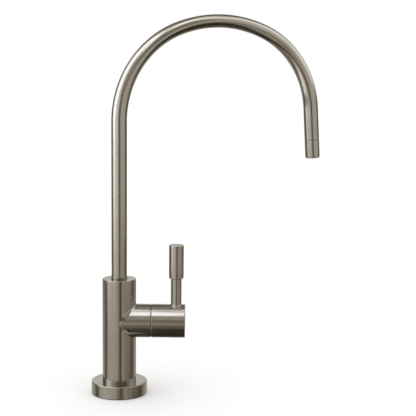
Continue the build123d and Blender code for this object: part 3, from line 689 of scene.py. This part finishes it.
@dataclass
class FaucetBody:
    """The upright barrel with its level branch, and the base plate. Millimetres.

    A face counts as the round outside where its centre is past the skin's share of the radius
    and its normal leans along the axis by less than the lean. The crease is how far the hollow
    between barrel and branch reaches. It starts and fades in along X, its cuts are the distances
    of its strips from the mitre, and a vertex deeper than its depth isn't moved.
    """

    radius: float
    base_radius: float
    valve_height: float
    branch_end: float
    foot: float
    top: float
    base_low: float
    gasket_outer: float
    gasket_top: float
    gasket_inner: float = 13.5
    rim: float = 0.4
    small_rim: float = 0.15
    seam_rim: float = 0.2
    skin: float = 0.97
    lean: float = 0.1
    crease: float = 1.1
    crease_start: float = 0.6
    crease_fade: float = 4.5
    crease_depth: float = 0.05
    crease_passes: int = 4
    crease_cuts: tuple[float, ...] = (
        0, 0.14, 0.3, 0.48, 0.68, 0.9, 1.15, 1.6, 2.3, 3.2, 4.4, 6.0
    )
    socket_radius: float = 6.6
    socket_floor: float = 70.0
    cavity_radius: float = 8.5
    cavity_floor: float = 2.0
    spigot_radius: float = 9.0
    spigot_depth: float = 2.0
    spigot_play: float = 0.05
    shank_radius: float = 5.605
    shank_top: float = 23.7
    base_hole: float = 5.905
    boss_radius: float = 7.5
    roof_inner: float = 12.5
    roof: float = 6.2
    base_rim: float = 0.5

    def build(self) -> None:
        """Makes the barrel and the base plate."""
        self._barrel()
        self._base()

    @property
    def spigot_low(self) -> float:
        """The foot of the spigot that centres the base plate."""
        return self.foot - self.spigot_depth

    def _barrel(self) -> None:
        """Turns the barrel and the branch, and joins them where they cross."""
        barrel = Turned()
        barrel.lathe(
            [
                Corner(0, self.socket_floor),
                Corner(self.socket_radius, self.socket_floor),
                Corner(self.socket_radius, self.top, self.small_rim),
                Corner(self.radius, self.top, self.rim),
                Corner(self.radius, self.foot, self.small_rim),
                Corner(self.spigot_radius, self.foot),
                Corner(self.spigot_radius, self.spigot_low),
                Corner(self.shank_radius, self.spigot_low),
                Corner(self.shank_radius, self.shank_top),
                Corner(0, self.shank_top + self.shank_radius / 2),
            ],
            Round.BROAD,
        )
        branch = Turned()
        branch.lathe(
            [
                Corner(0, self.cavity_floor),
                Corner(self.cavity_radius, self.cavity_floor),
                Corner(self.cavity_radius, self.branch_end, self.small_rim),
                Corner(self.radius, self.branch_end, self.seam_rim),
                Corner(self.radius, -self.rim),
            ],
            Round.BROAD,
        )
        branch.move(level_frame(self.valve_height))
        for shape, past in ((barrel, True), (branch, False)):
            self._cut_mitres(shape.mesh)
            spare = [
                f for f in shape.mesh.faces if self._outside(f) and self._past_mitre(f) is past
            ]
            bmesh.ops.delete(shape.mesh, geom=spare, context="FACES")
        barrel.take(branch)
        barrel.clean()
        self._fill_crease(barrel.mesh)
        barrel.piece("body_barrel", "faucet_body", "body_tee", Nickel(Lines(Lay.UPRIGHT)))

    def _outside(self, face: BMFace) -> bool:
        """Tells the round outside of the barrel's right half and of the branch.

        Args:
            face: a face of either.

        Returns:
            Whether it is there.
        """
        centre = face.calc_center_median()
        reach = self.skin * self.radius * MM
        from_valve = math.hypot(centre.y, centre.z - self.valve_height * MM)
        on_barrel = centre.x > 0 and centre.xy.length > reach and abs(face.normal.z) < self.lean
        return on_barrel or (from_valve > reach and abs(face.normal.x) < self.lean)

    def _past_mitre(self, face: BMFace) -> bool:
        """Whether a face is on the branch's side of the mitre planes."""
        centre = face.calc_center_median()
        return centre.x > abs(centre.z - self.valve_height * MM)

    def _cut_mitres(self, mesh: BMesh) -> None:
        """Cuts the outside along the slanted planes in which the equal cylinders meet.

        Further cuts on both sides of each plane give the crease its narrow strips.

        Args:
            mesh: the barrel or the branch.
        """
        shifts = [*(-cut for cut in reversed(self.crease_cuts[1:])), *self.crease_cuts]
        for slant in (1, -1):
            for shift in shifts:
                faces = [f for f in mesh.faces if self._outside(f)]
                edges = {e for f in faces for e in f.edges}
                verts = {v for e in edges for v in e.verts}
                bmesh.ops.bisect_plane(
                    mesh, geom=[*faces, *edges, *verts], dist=MERGE / 4,
                    plane_co=(shift * MM, 0, self.valve_height * MM), plane_no=(1, 0, slant),
                )

    def _fill_crease(self, mesh: BMesh) -> None:
        """Fills the corner between barrel and branch with a small hollow.

        The hollow joins the two round outsides smoothly where they are about as near. A vertex
        moves onto it in a few passes, and what lies deeper inside stays.

        Args:
            mesh: the joined mesh.
        """
        centre = Vector((0, 0, self.valve_height))
        for vert in mesh.verts:
            place = vert.co / MM - centre
            fade = min(1.0, max(0.0, (place.x - self.crease_start) / self.crease_fade))
            for _ in range(self.crease_passes):
                from_body = Vector((place.x, place.y, 0))
                from_valve = Vector((0, place.y, place.z))
                body_gap = from_body.length - self.radius
                valve_gap = from_valve.length - self.radius
                overlap = fade * max(0.0, 1 - abs(body_gap - valve_gap) / self.crease)
                near = min(body_gap, valve_gap)
                if near < -self.crease_depth or overlap == 0:
                    break
                share = overlap / 2 if body_gap > valve_gap else 1 - overlap / 2
                slope = from_body.normalized() * share + from_valve.normalized() * (1 - share)
                short = near - overlap**2 * self.crease / 4
                place -= slope * short / slope.length_squared
            vert.co = (place + centre) * MM
        bmesh.ops.recalc_face_normals(mesh, faces=mesh.faces)

    def _base(self) -> None:
        """Turns the base plate."""
        spigot = self.spigot_radius + self.spigot_play
        shape = Turned()
        shape.lathe(
            [
                Corner(self.base_hole, self.base_low),
                Corner(self.boss_radius, self.base_low),
                Corner(self.boss_radius, self.roof),
                Corner(self.roof_inner, self.roof),
                Corner(self.roof_inner, self.base_low),
                Corner(self.gasket_inner, self.base_low),
                Corner(self.gasket_inner, self.gasket_top),
                Corner(self.gasket_outer, self.gasket_top),
                Corner(self.gasket_outer, self.base_low),
                Corner(self.base_radius, self.base_low, self.small_rim),
                Corner(self.base_radius, self.foot, self.base_rim),
                Corner(spigot, self.foot),
                Corner(spigot, self.spigot_low),
                Corner(self.base_hole, self.spigot_low),
            ],
            Round.WIDE,
            closed=True,
        )
        shape.clean()
        shape.piece("base_disc", "faucet_body", "base_plate", Nickel(Lines(Lay.UPRIGHT)))


@dataclass
class LeverHandle:
    """The hub, the rod and the grip of the lever. Millimetres.

    The foot's fit is how far up the rod follows the round hub, as a multiple of its hollow.
    """

    start: float
    end: float
    radius: float
    valve_height: float
    lever_x: float
    rod_radius: float
    grip_radius: float
    grip_low: float
    grip_top: float
    rim: float = 0.4
    seam_rim: float = 0.2
    small_rim: float = 0.15
    recess_radius: float = 8.1
    recess_end: float = 33.5
    stem_radius: float = 3.53
    stem_end: float = 40.6
    neck_radius: float = 3.8
    neck_length: float = 0.8
    stud_radius: float = 2.5
    stud_top: float = 104.4
    thread_play: float = 0.03
    tip_gap: float = 0.4
    foot_hollow: float = 0.35
    foot_fit: float = 3.0
    foot_sink: float = 0.5
    chamfer: float = 0.6
    chamfer_low_round: float = 0.1
    chamfer_top_round: float = 0.2
    top_round: float = 0.8

    @property
    def lever_frame(self) -> Matrix:
        """Moves a shape turned about the Z axis to the lever."""
        return Matrix.Translation((self.lever_x * MM, 0, 0))

    @property
    def lever_finish(self) -> Nickel:
        """The nickel of the rod and the grip."""
        return Nickel(Lines(Lay.UPRIGHT, (self.lever_x * MM, 0.0, 0.0)))

    def build(self) -> None:
        """Makes the three pieces."""
        self._hub()
        self._rod()
        self._grip()

    def _hub(self) -> None:
        """Turns the hub about the axis of the valve."""
        shape = Turned()
        shape.lathe(
            [
                Corner(self.recess_radius, self.recess_end),
                Corner(self.recess_radius, self.start, self.small_rim),
                Corner(self.radius, self.start, self.seam_rim),
                Corner(self.radius, self.end, self.rim),
                Corner(0, self.end),
            ],
            Round.BROAD,
        )
        shape.lathe(
            [
                Corner(self.recess_radius, self.recess_end),
                Corner(self.stem_radius, self.recess_end),
                Corner(self.stem_radius, self.stem_end),
                Corner(0, self.stem_end),
            ],
            Round.BROAD,
        )
        shape.move(level_frame(self.valve_height))
        shape.clean()
        shape.piece(
            "lever_hub", "lever_handle", "handle_hub", Nickel(valve_lines(self.valve_height))
        )

    def _rod(self) -> None:
        """Turns the rod and seats its hollow foot on the round hub."""
        shape = Turned()
        crown = self.valve_height + self.radius
        foot = hollow(self.rod_radius, crown, self.foot_hollow)
        neck_low = self.grip_low - self.neck_length
        shape.lathe(
            [
                Corner(0, crown - self.foot_sink),
                Corner(foot[0].radius, crown - self.foot_sink),
                *foot,
                Corner(self.rod_radius, neck_low, self.small_rim),
                Corner(self.neck_radius, neck_low),
                Corner(self.neck_radius, self.grip_low),
                Corner(self.stud_radius, self.grip_low),
                Corner(self.stud_radius, self.stud_top),
                Corner(0, self.stud_top),
            ],
            Round.THIN,
        )
        for vert in shape.mesh.verts:
            drop = self.radius - math.sqrt(self.radius**2 - (vert.co.y / MM) ** 2)
            above = max(0.0, vert.co.z / MM - crown)
            vert.co.z -= drop * max(0.0, 1.0 - above / (self.foot_fit * self.foot_hollow)) * MM
        shape.move(self.lever_frame)
        shape.clean()
        shape.piece("lever_stem", "lever_handle", "lever_rod", self.lever_finish)

    def _grip(self) -> None:
        """Turns the grip."""
        shape = Turned()
        hole = self.stud_radius + self.thread_play
        hole_top = self.stud_top + self.tip_gap
        chamfer_radius = self.grip_radius - self.chamfer
        shape.lathe(
            [
                Corner(0, hole_top),
                Corner(hole, hole_top),
                Corner(hole, self.grip_low),
                Corner(chamfer_radius, self.grip_low, self.chamfer_low_round),
                Corner(self.grip_radius, self.grip_low + self.chamfer, self.chamfer_top_round),
                Corner(self.grip_radius, self.grip_top, self.top_round),
                Corner(0, self.grip_top),
            ],
            Round.SLIM,
        )
        shape.move(self.lever_frame)
        shape.clean()
        shape.piece("lever_knob", "lever_handle", "lever_grip", self.lever_finish)


@dataclass(frozen=True)
class Run:
    """A straight or bent stretch of tube in its upright plane. Millimetres and radians.

    The radius is 0 where it is straight, and the heading is the angle from upright.
    """

    length: float
    radius: float
    out: float
    height: float
    heading: float

    def at(self, along: float) -> tuple[float, float, float]:
        """Follows the centre line.

        Args:
            along: the distance from the start of the run.

        Returns:
            The distance from the body's axis, the height and the heading there.
        """
        if self.radius == 0:
            out = self.out + along * math.sin(self.heading)
            return out, self.height + along * math.cos(self.heading), self.heading
        heading = self.heading + along / self.radius
        out = self.out + self.radius * (math.cos(self.heading) - math.cos(heading))
        height = self.height + self.radius * (math.sin(heading) - math.sin(self.heading))
        return out, height, heading


@dataclass
class Gooseneck:
    """The bent spout tube, in an upright plane turned about the body's axis. Millimetres.

    Each bend is an arc by its radius and its angle in degrees. The tube is squeezed in the plane
    of its bends by up to the squeeze, and the growth is the share of that which it gains across.
    """

    STRAIGHT = "straight"

    foot: float
    turn: float = math.radians(25.5)
    radius: float = 6.0
    wall: float = 0.8
    bend_low: float = 214.5
    bends: tuple[tuple[float, float], ...] = ((76.1, 69.7), (102.3, 44.5), (72.4, 61.9))
    leg: float = 25.7
    rings: int = 240
    foot_rim: float = 0.15
    seam_rim: float = 0.12
    squeeze: float = 0.13
    squeeze_skew: float = 0.92
    squeeze_power: float = 2.5
    growth: float = 0.55
    seam: float = 0.35
    tip_length: float = 15.2
    tip_rim: float = 0.9
    mouth: float = 4.6
    mouth_rim: float = 0.2
    spigot: float = 7.0
    spigot_play: float = 0.03
    insert_top: float = 9.0
    bore: float = 3.6

    @cached_property
    def runs(self) -> list[Run]:
        """Follows the tube up, round and down.

        Returns:
            The rise, the bends and the leg, each from the end of the one before.
        """
        runs = [Run(self.bend_low - self.foot, 0.0, 0.0, self.foot, 0.0)]
        shapes = [(radius * math.radians(angle), radius) for radius, angle in self.bends]
        for length, radius in (*shapes, (self.leg, 0.0)):
            runs.append(Run(length, radius, *runs[-1].at(runs[-1].length)))
        return runs

    @property
    def length(self) -> float:
        """The length of the centre line."""
        return sum(run.length for run in self.runs)

    def centre_line(self, along: float) -> tuple[float, float, float]:
        """Follows the centre line, and straight on past its end.

        Args:
            along: the distance from the foot.

        Returns:
            The distance from the body's axis, the height and the heading there.
        """
        for run in self.runs[:-1]:
            if along <= run.length:
                return run.at(along)
            along -= run.length
        return self.runs[-1].at(along)

    def bend_share(self, along: float) -> float:
        """How far along the bend a place is, from 0 to 1."""
        rise, *bends, _ = (run.length for run in self.runs)
        return min(1.0, max(0.0, (along - rise) / sum(bends)))

    @property
    def plane(self) -> Matrix:
        """Turns the plane of X and Z into the spout's plane."""
        return Matrix.Rotation(self.turn, 4, "Z")

    @property
    def finish(self) -> Nickel:
        """The nickel of the tube and the tip."""
        return Nickel(Lines(Lay.BENT_TUBE))

    def build(self) -> None:
        """Makes the tube and the tip."""
        self._tube()
        self._tip()

    def _tube(self) -> None:
        """Turns a straight tube and bends it along the centre line."""
        shape = Turned()
        inner = self.radius - self.wall
        outline = shape.outline(
            [
                Corner(inner, 0),
                Corner(self.radius, 0, self.foot_rim),
                Corner(self.radius, self.length, self.seam_rim),
                Corner(inner, self.length),
            ],
            closed=True,
        )
        half = self.length / 2 * MM
        walls = [e for e in outline if isinstance(e, BMEdge) and e.calc_length() > half]
        bmesh.ops.subdivide_edges(shape.mesh, edges=walls, cuts=self.rings, use_grid_fill=False)
        shape.turn([*shape.mesh.verts, *shape.mesh.edges], Round.THIN)
        shape.clean()
        shape.remember(self.STRAIGHT)
        for vert in shape.mesh.verts:
            vert.co = self._bent(vert.co / MM) * MM
        shape.move(self.plane)
        shape.piece("spout_gooseneck", "spout", "spout_tube", self.finish)

    def _bent(self, place: Vector) -> Vector:
        """Moves a point of the straight tube to its place on the bent one.

        Args:
            place: the point, in millimetres, with the tube along Z.

        Returns:
            The bent point.
        """
        out, height, heading = self.centre_line(place.z)
        bent = math.sin(math.pi * self.bend_share(place.z) ** self.squeeze_skew)
        squeeze = self.squeeze * max(0.0, bent) ** self.squeeze_power
        in_plane = place.x * (1 - squeeze)
        across = place.y * (1 + squeeze * self.growth)
        return Vector(
            (out + in_plane * math.cos(heading), across, height - in_plane * math.sin(heading))
        )

    def _tip(self) -> None:
        """Turns the outlet tip with its spigot, and leans it in line with the leg."""
        shape = Turned()
        spigot_radius = self.radius - self.wall - self.spigot_play
        spigot_top = self.tip_length + self.spigot
        shape.lathe(
            [
                Corner(self.mouth, 0, self.mouth_rim),
                Corner(self.radius, 0, self.tip_rim),
                Corner(self.radius, self.tip_length, self.seam_rim),
                Corner(spigot_radius, self.tip_length),
                Corner(spigot_radius, spigot_top),
                Corner(self.bore, spigot_top),
                Corner(self.bore, self.insert_top),
                Corner(self.mouth, self.insert_top),
            ],
            Round.SLIM,
            closed=True,
        )
        shape.clean()
        shape.remember(self.STRAIGHT)
        out, height, heading = self.centre_line(self.length + self.seam + self.tip_length)
        shape.move(
            self.plane
            @ Matrix.Translation((out * MM, 0, height * MM))
            @ Matrix.Rotation(heading - math.pi, 4, "Y")
        )
        shape.piece("spout_tip", "spout", "outlet_tip", self.finish)


@dataclass
class Shank:
    """The threaded shank under the base. Millimetres.

    The flats are shares of the pitch, and the flanks between them slope 30 degrees.
    """

    radius: float
    low: float
    high: float
    bore: float = 3.2
    pitch: float = 25.4 / 24
    root_flat: float = 0.25
    crest_flat: float = 0.125
    steps: int = 36

    @property
    def flank(self) -> float:
        """How far a flank of the thread reaches along the axis."""
        return self.pitch * (1 - self.root_flat - self.crest_flat) / 2

    @property
    def root(self) -> float:
        """The radius at the bottom of the thread."""
        return self.radius - self.flank * math.sqrt(3)

    def build(self) -> None:
        """Winds the thread, trims its ends, and bores it."""
        shape = Turned()
        self._wind(shape)
        self._trim(shape.mesh)
        self._bore(shape.mesh)
        shape.clean()
        finish = BRASS(Lines(Lay.UPRIGHT))
        shape.piece("threaded_shank", "faucet_body", "mounting_shank", finish)

    def _wind(self, shape: Turned) -> None:
        """Winds one turn of the thread, and doubles it until it is longer than the shank.

        Args:
            shape: the empty shape.
        """
        mesh = shape.mesh
        start = self.low - self.pitch
        along = start + self.pitch * self.root_flat
        tooth = shape.outline(
            [
                Corner(self.root, start),
                Corner(self.root, along),
                Corner(self.radius, along + self.flank),
                Corner(self.radius, along + self.flank + self.pitch * self.crest_flat),
                Corner(self.root, start + self.pitch),
            ]
        )
        bmesh.ops.spin(
            mesh, geom=tooth, cent=(0, 0, 0), axis=(0, 0, 1), angle=TURN,
            dvec=(0, 0, self.pitch / self.steps * MM), steps=self.steps,
            use_merge=False, use_duplicate=False,
        )
        wound = self.pitch
        while start + wound < self.high + self.pitch:
            more = bmesh.ops.duplicate(mesh, geom=[*mesh.verts, *mesh.edges, *mesh.faces])
            raised = [g for g in more["geom"] if isinstance(g, BMVert)]
            bmesh.ops.translate(mesh, verts=raised, vec=(0, 0, wound * MM))
            wound *= 2
        bmesh.ops.remove_doubles(mesh, verts=mesh.verts, dist=MERGE)

    def _trim(self, mesh: BMesh) -> None:
        """Cuts the thread to the length of the shank and chamfers both ends down to its root.

        Args:
            mesh: the wound thread.
        """
        for height, way in ((self.low, -1), (self.high, 1)):
            bmesh.ops.bisect_plane(
                mesh, geom=[*mesh.verts, *mesh.edges, *mesh.faces], dist=MERGE / 4,
                plane_co=(0, 0, height * MM), plane_no=(0, 0, way), clear_outer=True,
            )
        for vert in mesh.verts:
            room = min(vert.co.z - self.low * MM, self.high * MM - vert.co.z)
            limit = self.root * MM + max(0.0, room)
            if vert.co.xy.length > limit:
                draw_in(vert, limit)

    def _bore(self, mesh: BMesh) -> None:
        """Draws both open ends in to the bore and joins them through the shank.

        Args:
            mesh: the trimmed thread.
        """
        rims = []
        for height in (self.low, self.high):
            rim = [
                e for e in mesh.edges
                if e.is_boundary and all(abs(v.co.z - height * MM) < MERGE for v in e.verts)
            ]
            inner = bmesh.ops.extrude_edge_only(mesh, edges=rim)["geom"]
            for vert in (g for g in inner if isinstance(g, BMVert)):
                draw_in(vert, self.bore * MM)
            rims += [g for g in inner if isinstance(g, BMEdge)]
        bmesh.ops.bridge_loops(mesh, edges=rims)


@dataclass
class SmallParts:
    """The seals, the valve, the clamp and the inlet, which keep their solids."""

    valve_height: float

    def build(self) -> None:
        """Gives each solid that still shows its finish."""
        upright = Lines(Lay.UPRIGHT)
        level = valve_lines(self.valve_height)
        finishes = {
            # the cartridge's dark nickel is partly painted shade in the seam beside the hub
            DULL_NICKEL_AND_SEAM_SHADE(level): ("cartridge_body",),
            BRASS(upright): ("mounting_nut", "spout_nipple"),
            BRASS(level): ("valve_spindle",),
            STEEL(upright): ("clamp_washer", "lock_washer", "spout_snap_ring", "hub_set_screw"),
            STEEL(level): ("spindle_clip",),
            Ceramic(): ("fixed_disc", "moving_disc"),
            Fibre(): ("shank_washer", "adaptor_washer"),
            RUBBER: (
                "base_gasket", "cartridge_o_ring", "seat_seal", "spindle_o_rings",
                "spout_o_rings", "tip_o_ring", "rubber_washer", "adaptor_o_ring",
            ),
            DARK_PLASTIC: ("spout_bush", "tip_washer"),
            WHITE_PLASTIC: ("flow_straightener", "inlet_adaptor", "release_collet"),
        }
        for finish, nodes in finishes.items():
            material = finish.material()
            for name in nodes:
                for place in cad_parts[name].material_slots:
                    place.material = material
                log.info("%s: %s", name, material.name)


# Stage


@dataclass(frozen=True)
class Panel:
    """A cloth in the light tent: its span round the object and up, its light and soft edges.

    The spans are in degrees. Round the object, 0 is in front and 90 on the right. Upwards, 0 is
    level with the tent's centre. A cloth hides what hangs before it in the list.
    """

    left: float
    right: float
    bottom: float
    top: float
    light: float
    soft: float = 8.0
    soft_up: float = 7.0


@dataclass(frozen=True)
class Lamp:
    """A soft square lamp that mirrors don't show. Metres and watts."""

    name: str
    place: tuple[float, float, float]
    width: float
    power: float

    def hang(self, aim: Vector) -> None:
        """Hangs the lamp.

        Args:
            aim: the point that it shines at.
        """
        data = bpy.data.lights.new(self.name, "AREA")
        data.shape = "SQUARE"
        data.size = self.width
        data.energy = self.power
        lamp = bpy.data.objects.new(self.name, data)
        bpy.context.scene.collection.objects.link(lamp)
        lamp.location = self.place
        lamp.rotation_mode = "QUATERNION"
        lamp.rotation_quaternion = (aim - lamp.location).to_track_quat("-Z", "Y")
        lamp.visible_glossy = False


@dataclass
class Studio:
    """The floor, the tent round the object, the lamps and the camera.

    Metres and degrees, but the camera's place, lens and film are in millimetres. Without its
    panels the tent has its shade, which fades to its least light between two heights. It is
    dimmed where it is mirrored for the second time.
    """

    floor_size: float = 60.0
    floor_drop: float = 0.05 * MM
    tent_radius: float = 3.5
    tent_centre: float = 0.15
    tent_columns: int = 64
    tent_rows: int = 32
    shade: float = 0.27
    fade_low: float = -88.0
    fade_high: float = -50.0
    least_light: float = 0.04
    dark_cloth: Colour = (1.0, 0.84, 0.56)
    white_cloth: Colour = (1.0, 1.04, 1.13)
    tint: float = 0.8
    dimming: float = 0.45
    one_mirror: float = 1.5
    camera_place: tuple[float, float, float] = (68.87, -888.6, 275.16)
    tilt: float = 8.13
    roll: float = 0.56
    lens: float = 100.18
    film: float = 36.0
    nearest: float = 0.01
    farthest: float = 100.0
    lamps: tuple[Lamp, ...] = (
        Lamp("lamp_left", (-1.4, -1.2, 1.4), 1.6, 0.9),
        Lamp("lamp_right", (1.5, -1.1, 1.2), 1.6, 0.6),
        Lamp("lamp_top", (0.1, -0.3, 2.0), 1.8, 1.6),
    )
    panels: tuple[Panel, ...] = (
        # Behind, and behind on the left
        Panel(125, 235, 30, 58, 0.22, 12, 6),
        Panel(125, 235, 6, 27, 0.68, 8, 5),
        Panel(160, 200, 24, 50, 0.15, 8, 5),
        Panel(158, 204, -95, -50, 0.03, 8, 8),
        Panel(-155, -118, 8, 30, 0.2, 6, 6),
        Panel(-132, -106, 28, 72, 0.5, 6, 8),
        Panel(-112, -90, 22, 75, 1.05, 6, 8),
        # Overhead
        Panel(104, 160, 66, 95, 0.75, 8, 6),
        Panel(-100, 104, 64, 95, 1.75, 18, 7),
        Panel(58, 100, 44, 68, 1.15, 8, 6),
        Panel(-92, -20, 47, 72, 1.8, 9, 7),
        Panel(-40, -4, 76, 95, 0.35, 12, 4),
        Panel(-14, 3, 44, 67, 1.75, 4, 4),
        Panel(-8, 12, 69, 95, 0.45, 5, 4),
        # On the left
        Panel(-93, -4, -74, -2, 0.41, 5, 9),
        Panel(-70, -12, -54, -25, 0.82, 9, 8),
        Panel(-84, -38, -46, -23, 1.15, 7, 3),
        Panel(-76, -14, -20, -15, 0.38, 8, 2.5),
        Panel(-54, -26, -8, 60, 1.0, 12, 10),
        Panel(-40, -12, -9, 14, 0.85, 7, 9),
        Panel(-97, -54, -7.5, 75, 1.9, 5, 10),
        Panel(-99, -83, -16.5, -11.8, 0.05, 4, 1.5),
        Panel(-142, -103, -12, 4, 0.15, 6, 3),
        Panel(-165, -125, -24, -14, 0.42, 6, 3),
        # In front and on the right
        Panel(56, 88, 2, 46, 0.72, 6, 8),
        Panel(34, 58, 5, 18, 0.22, 5, 4),
        Panel(84, 122, 5, 60, 1.15, 7, 7),
        Panel(-20, 50, 14, 42, 0.24, 8, 6),
        Panel(-9, 9, 18, 41, 0.4, 6, 6),
        Panel(8, 60, -74, -12, 0.34, 4, 6),
        Panel(22, 84, -28, -8, 0.25, 4, 6),
        Panel(21, 112, -11, 8, 0.52, 3, 7),
        Panel(99, 158, -13, 6, 0.14, 7, 4),
        Panel(21, 36, -24, -8, 0.38, 3, 5),
        Panel(84, 116, -26, -12.5, 0.13, 5, 3),
        Panel(59, 112, -84, -20.5, 0.03, 6, 4),
        Panel(130, 168, -24, -15, 0.42, 6, 3),
        Panel(108, 168, -78, -38, 0.09, 10, 9),
        # Low on the left
        Panel(-112, -90, -26, -8, 0.11, 4, 5),
        Panel(-116, -80, -76, -32, 0.12, 6, 8),
        # Low in front
        Panel(-9, 8, -52, -22, 0.13, 4, 8),
        Panel(-13, 12, -74, -44, 0.015, 4, 10),
        Panel(-24, 14, -95, -66, 0.03, 6, 5),
        Panel(5, 20.5, -24, 3, 0.08, 4, 6),
        Panel(-6, 8, -1, 12, 0.16, 4, 4),
    )

    def build(self) -> None:
        """Sets the stage."""
        self._floor()
        self._tent()
        self._world()
        for lamp in self.lamps:
            lamp.hang(Vector((0, 0, self.tent_centre)))
        self._camera()

    def _floor(self) -> None:
        """Lays the plain pale floor."""
        mesh = bmesh.new()
        bmesh.ops.create_grid(mesh, x_segments=1, y_segments=1, size=self.floor_size / 2)
        bmesh.ops.translate(mesh, verts=mesh.verts, vec=(0, 0, -self.floor_drop))
        floor = place_mesh("floor", mesh)
        graph = Graph("pale floor")
        paint = graph.surface(Base_Color=(1, 1, 1, 1), Roughness=0.9, Specular_IOR_Level=0.0)
        floor.data.materials.append(paint)
        floor.visible_glossy = False

    def _tent(self) -> None:
        """Hangs the tent that only reflections see."""
        mesh = bmesh.new()
        bmesh.ops.create_uvsphere(
            mesh, u_segments=self.tent_columns, v_segments=self.tent_rows, radius=self.tent_radius,
            matrix=Matrix.Translation((0, 0, self.tent_centre)),
        )
        bmesh.ops.reverse_faces(mesh, faces=mesh.faces)
        tent = place_mesh("light_tent", mesh)
        tent.data.materials.append(self._tent_cloth())
        tent.visible_camera = False
        tent.visible_diffuse = False
        tent.visible_transmission = False
        tent.visible_shadow = False

    def _tent_cloth(self) -> bpy.types.Material:
        """Makes the cloth, which is lit by its place round the object and its height.

        Returns:
            The material.
        """
        graph = Graph("tent cloth")
        x, y, z = graph.axes(graph.place)
        degrees = math.degrees(1)
        around = x.maths("ARCTAN2", -y) * degrees
        flat = (x * x + y * y) ** 0.5
        up = (z - self.tent_centre).maths("ARCTAN2", flat) * degrees
        light = self.shade * up.rise(self.fade_low, self.fade_high) + self.least_light
        for panel in self.panels:
            places = [around]
            if panel.right > 180:  # behind the object the degrees start again
                places.append(around + 360)
            mask = sum((p.within(panel.left, panel.right, panel.soft) for p in places), 0.0)
            mask = mask * up.within(panel.bottom, panel.top, panel.soft_up)
            light = light + mask * (panel.light - light)
        tint = graph.mix(light**0.5 * self.tint, self.dark_cloth, self.white_cloth)
        mirrors = graph.add("LightPath", {}, out="Glossy Depth")
        dimmed = light * (1 - mirrors.maths("GREATER_THAN", self.one_mirror) * self.dimming)
        glow = graph.add("Emission", {}, Color=tint, Strength=dimmed)
        graph.node("OutputMaterial", {}, glow)
        graph.material.cycles.emission_sampling = "NONE"
        return graph.material

    def _world(self) -> None:
        """Makes the plain white surround."""
        world = bpy.data.worlds.new("white surround")
        bpy.context.scene.world = world
        world.use_nodes = True
        background = world.node_tree.nodes["Background"]
        background.inputs["Color"].default_value = (1, 1, 1, 1)
        background.inputs["Strength"].default_value = 1.0

    def _camera(self) -> None:
        """Places the camera where the photographer stood."""
        data = bpy.data.cameras.new("camera")
        data.lens = self.lens
        data.sensor_width = self.film
        data.clip_start = self.nearest
        data.clip_end = self.farthest
        camera = bpy.data.objects.new("camera", data)
        bpy.context.scene.collection.objects.link(camera)
        camera.location = Vector(self.camera_place) * MM
        aim = Matrix.Rotation(math.radians(90 - self.tilt), 3, "X")
        aim @= Matrix.Rotation(math.radians(self.roll), 3, "Z")
        camera.rotation_euler = aim.to_euler()
        bpy.context.scene.camera = camera


def main() -> None:
    """Builds and dresses the faucet, then the stage."""
    logging.basicConfig(level=logging.INFO, format="%(message)s")
    bpy.context.scene.view_settings.view_transform = "Standard"
    valve_height = (low("handle_hub").z + high("handle_hub").z) / 2
    radius = high("body_tee").y
    FaucetBody(
        radius=radius,
        base_radius=high("base_plate").x,
        valve_height=valve_height,
        branch_end=high("body_tee").x,
        foot=high("base_plate").z,
        top=high("body_tee").z,
        base_low=low("base_plate").z,
        gasket_outer=high("base_gasket").x,
        gasket_top=high("base_gasket").z,
    ).build()
    LeverHandle(
        start=low("handle_hub").x,
        end=high("handle_hub").x,
        radius=radius,
        valve_height=valve_height,
        lever_x=(low("lever_grip").x + high("lever_grip").x) / 2,
        rod_radius=high("lever_rod").y,
        grip_radius=high("lever_grip").y,
        grip_low=low("lever_grip").z,
        grip_top=high("lever_grip").z,
    ).build()
    Gooseneck(foot=low("spout_tube").z).build()
    Shank(
        radius=high("mounting_shank").x,
        low=low("mounting_shank").z,
        high=high("mounting_shank").z,
    ).build()
    SmallParts(valve_height).build()
    Studio().build()


if __name__ == "__main__":
    main()
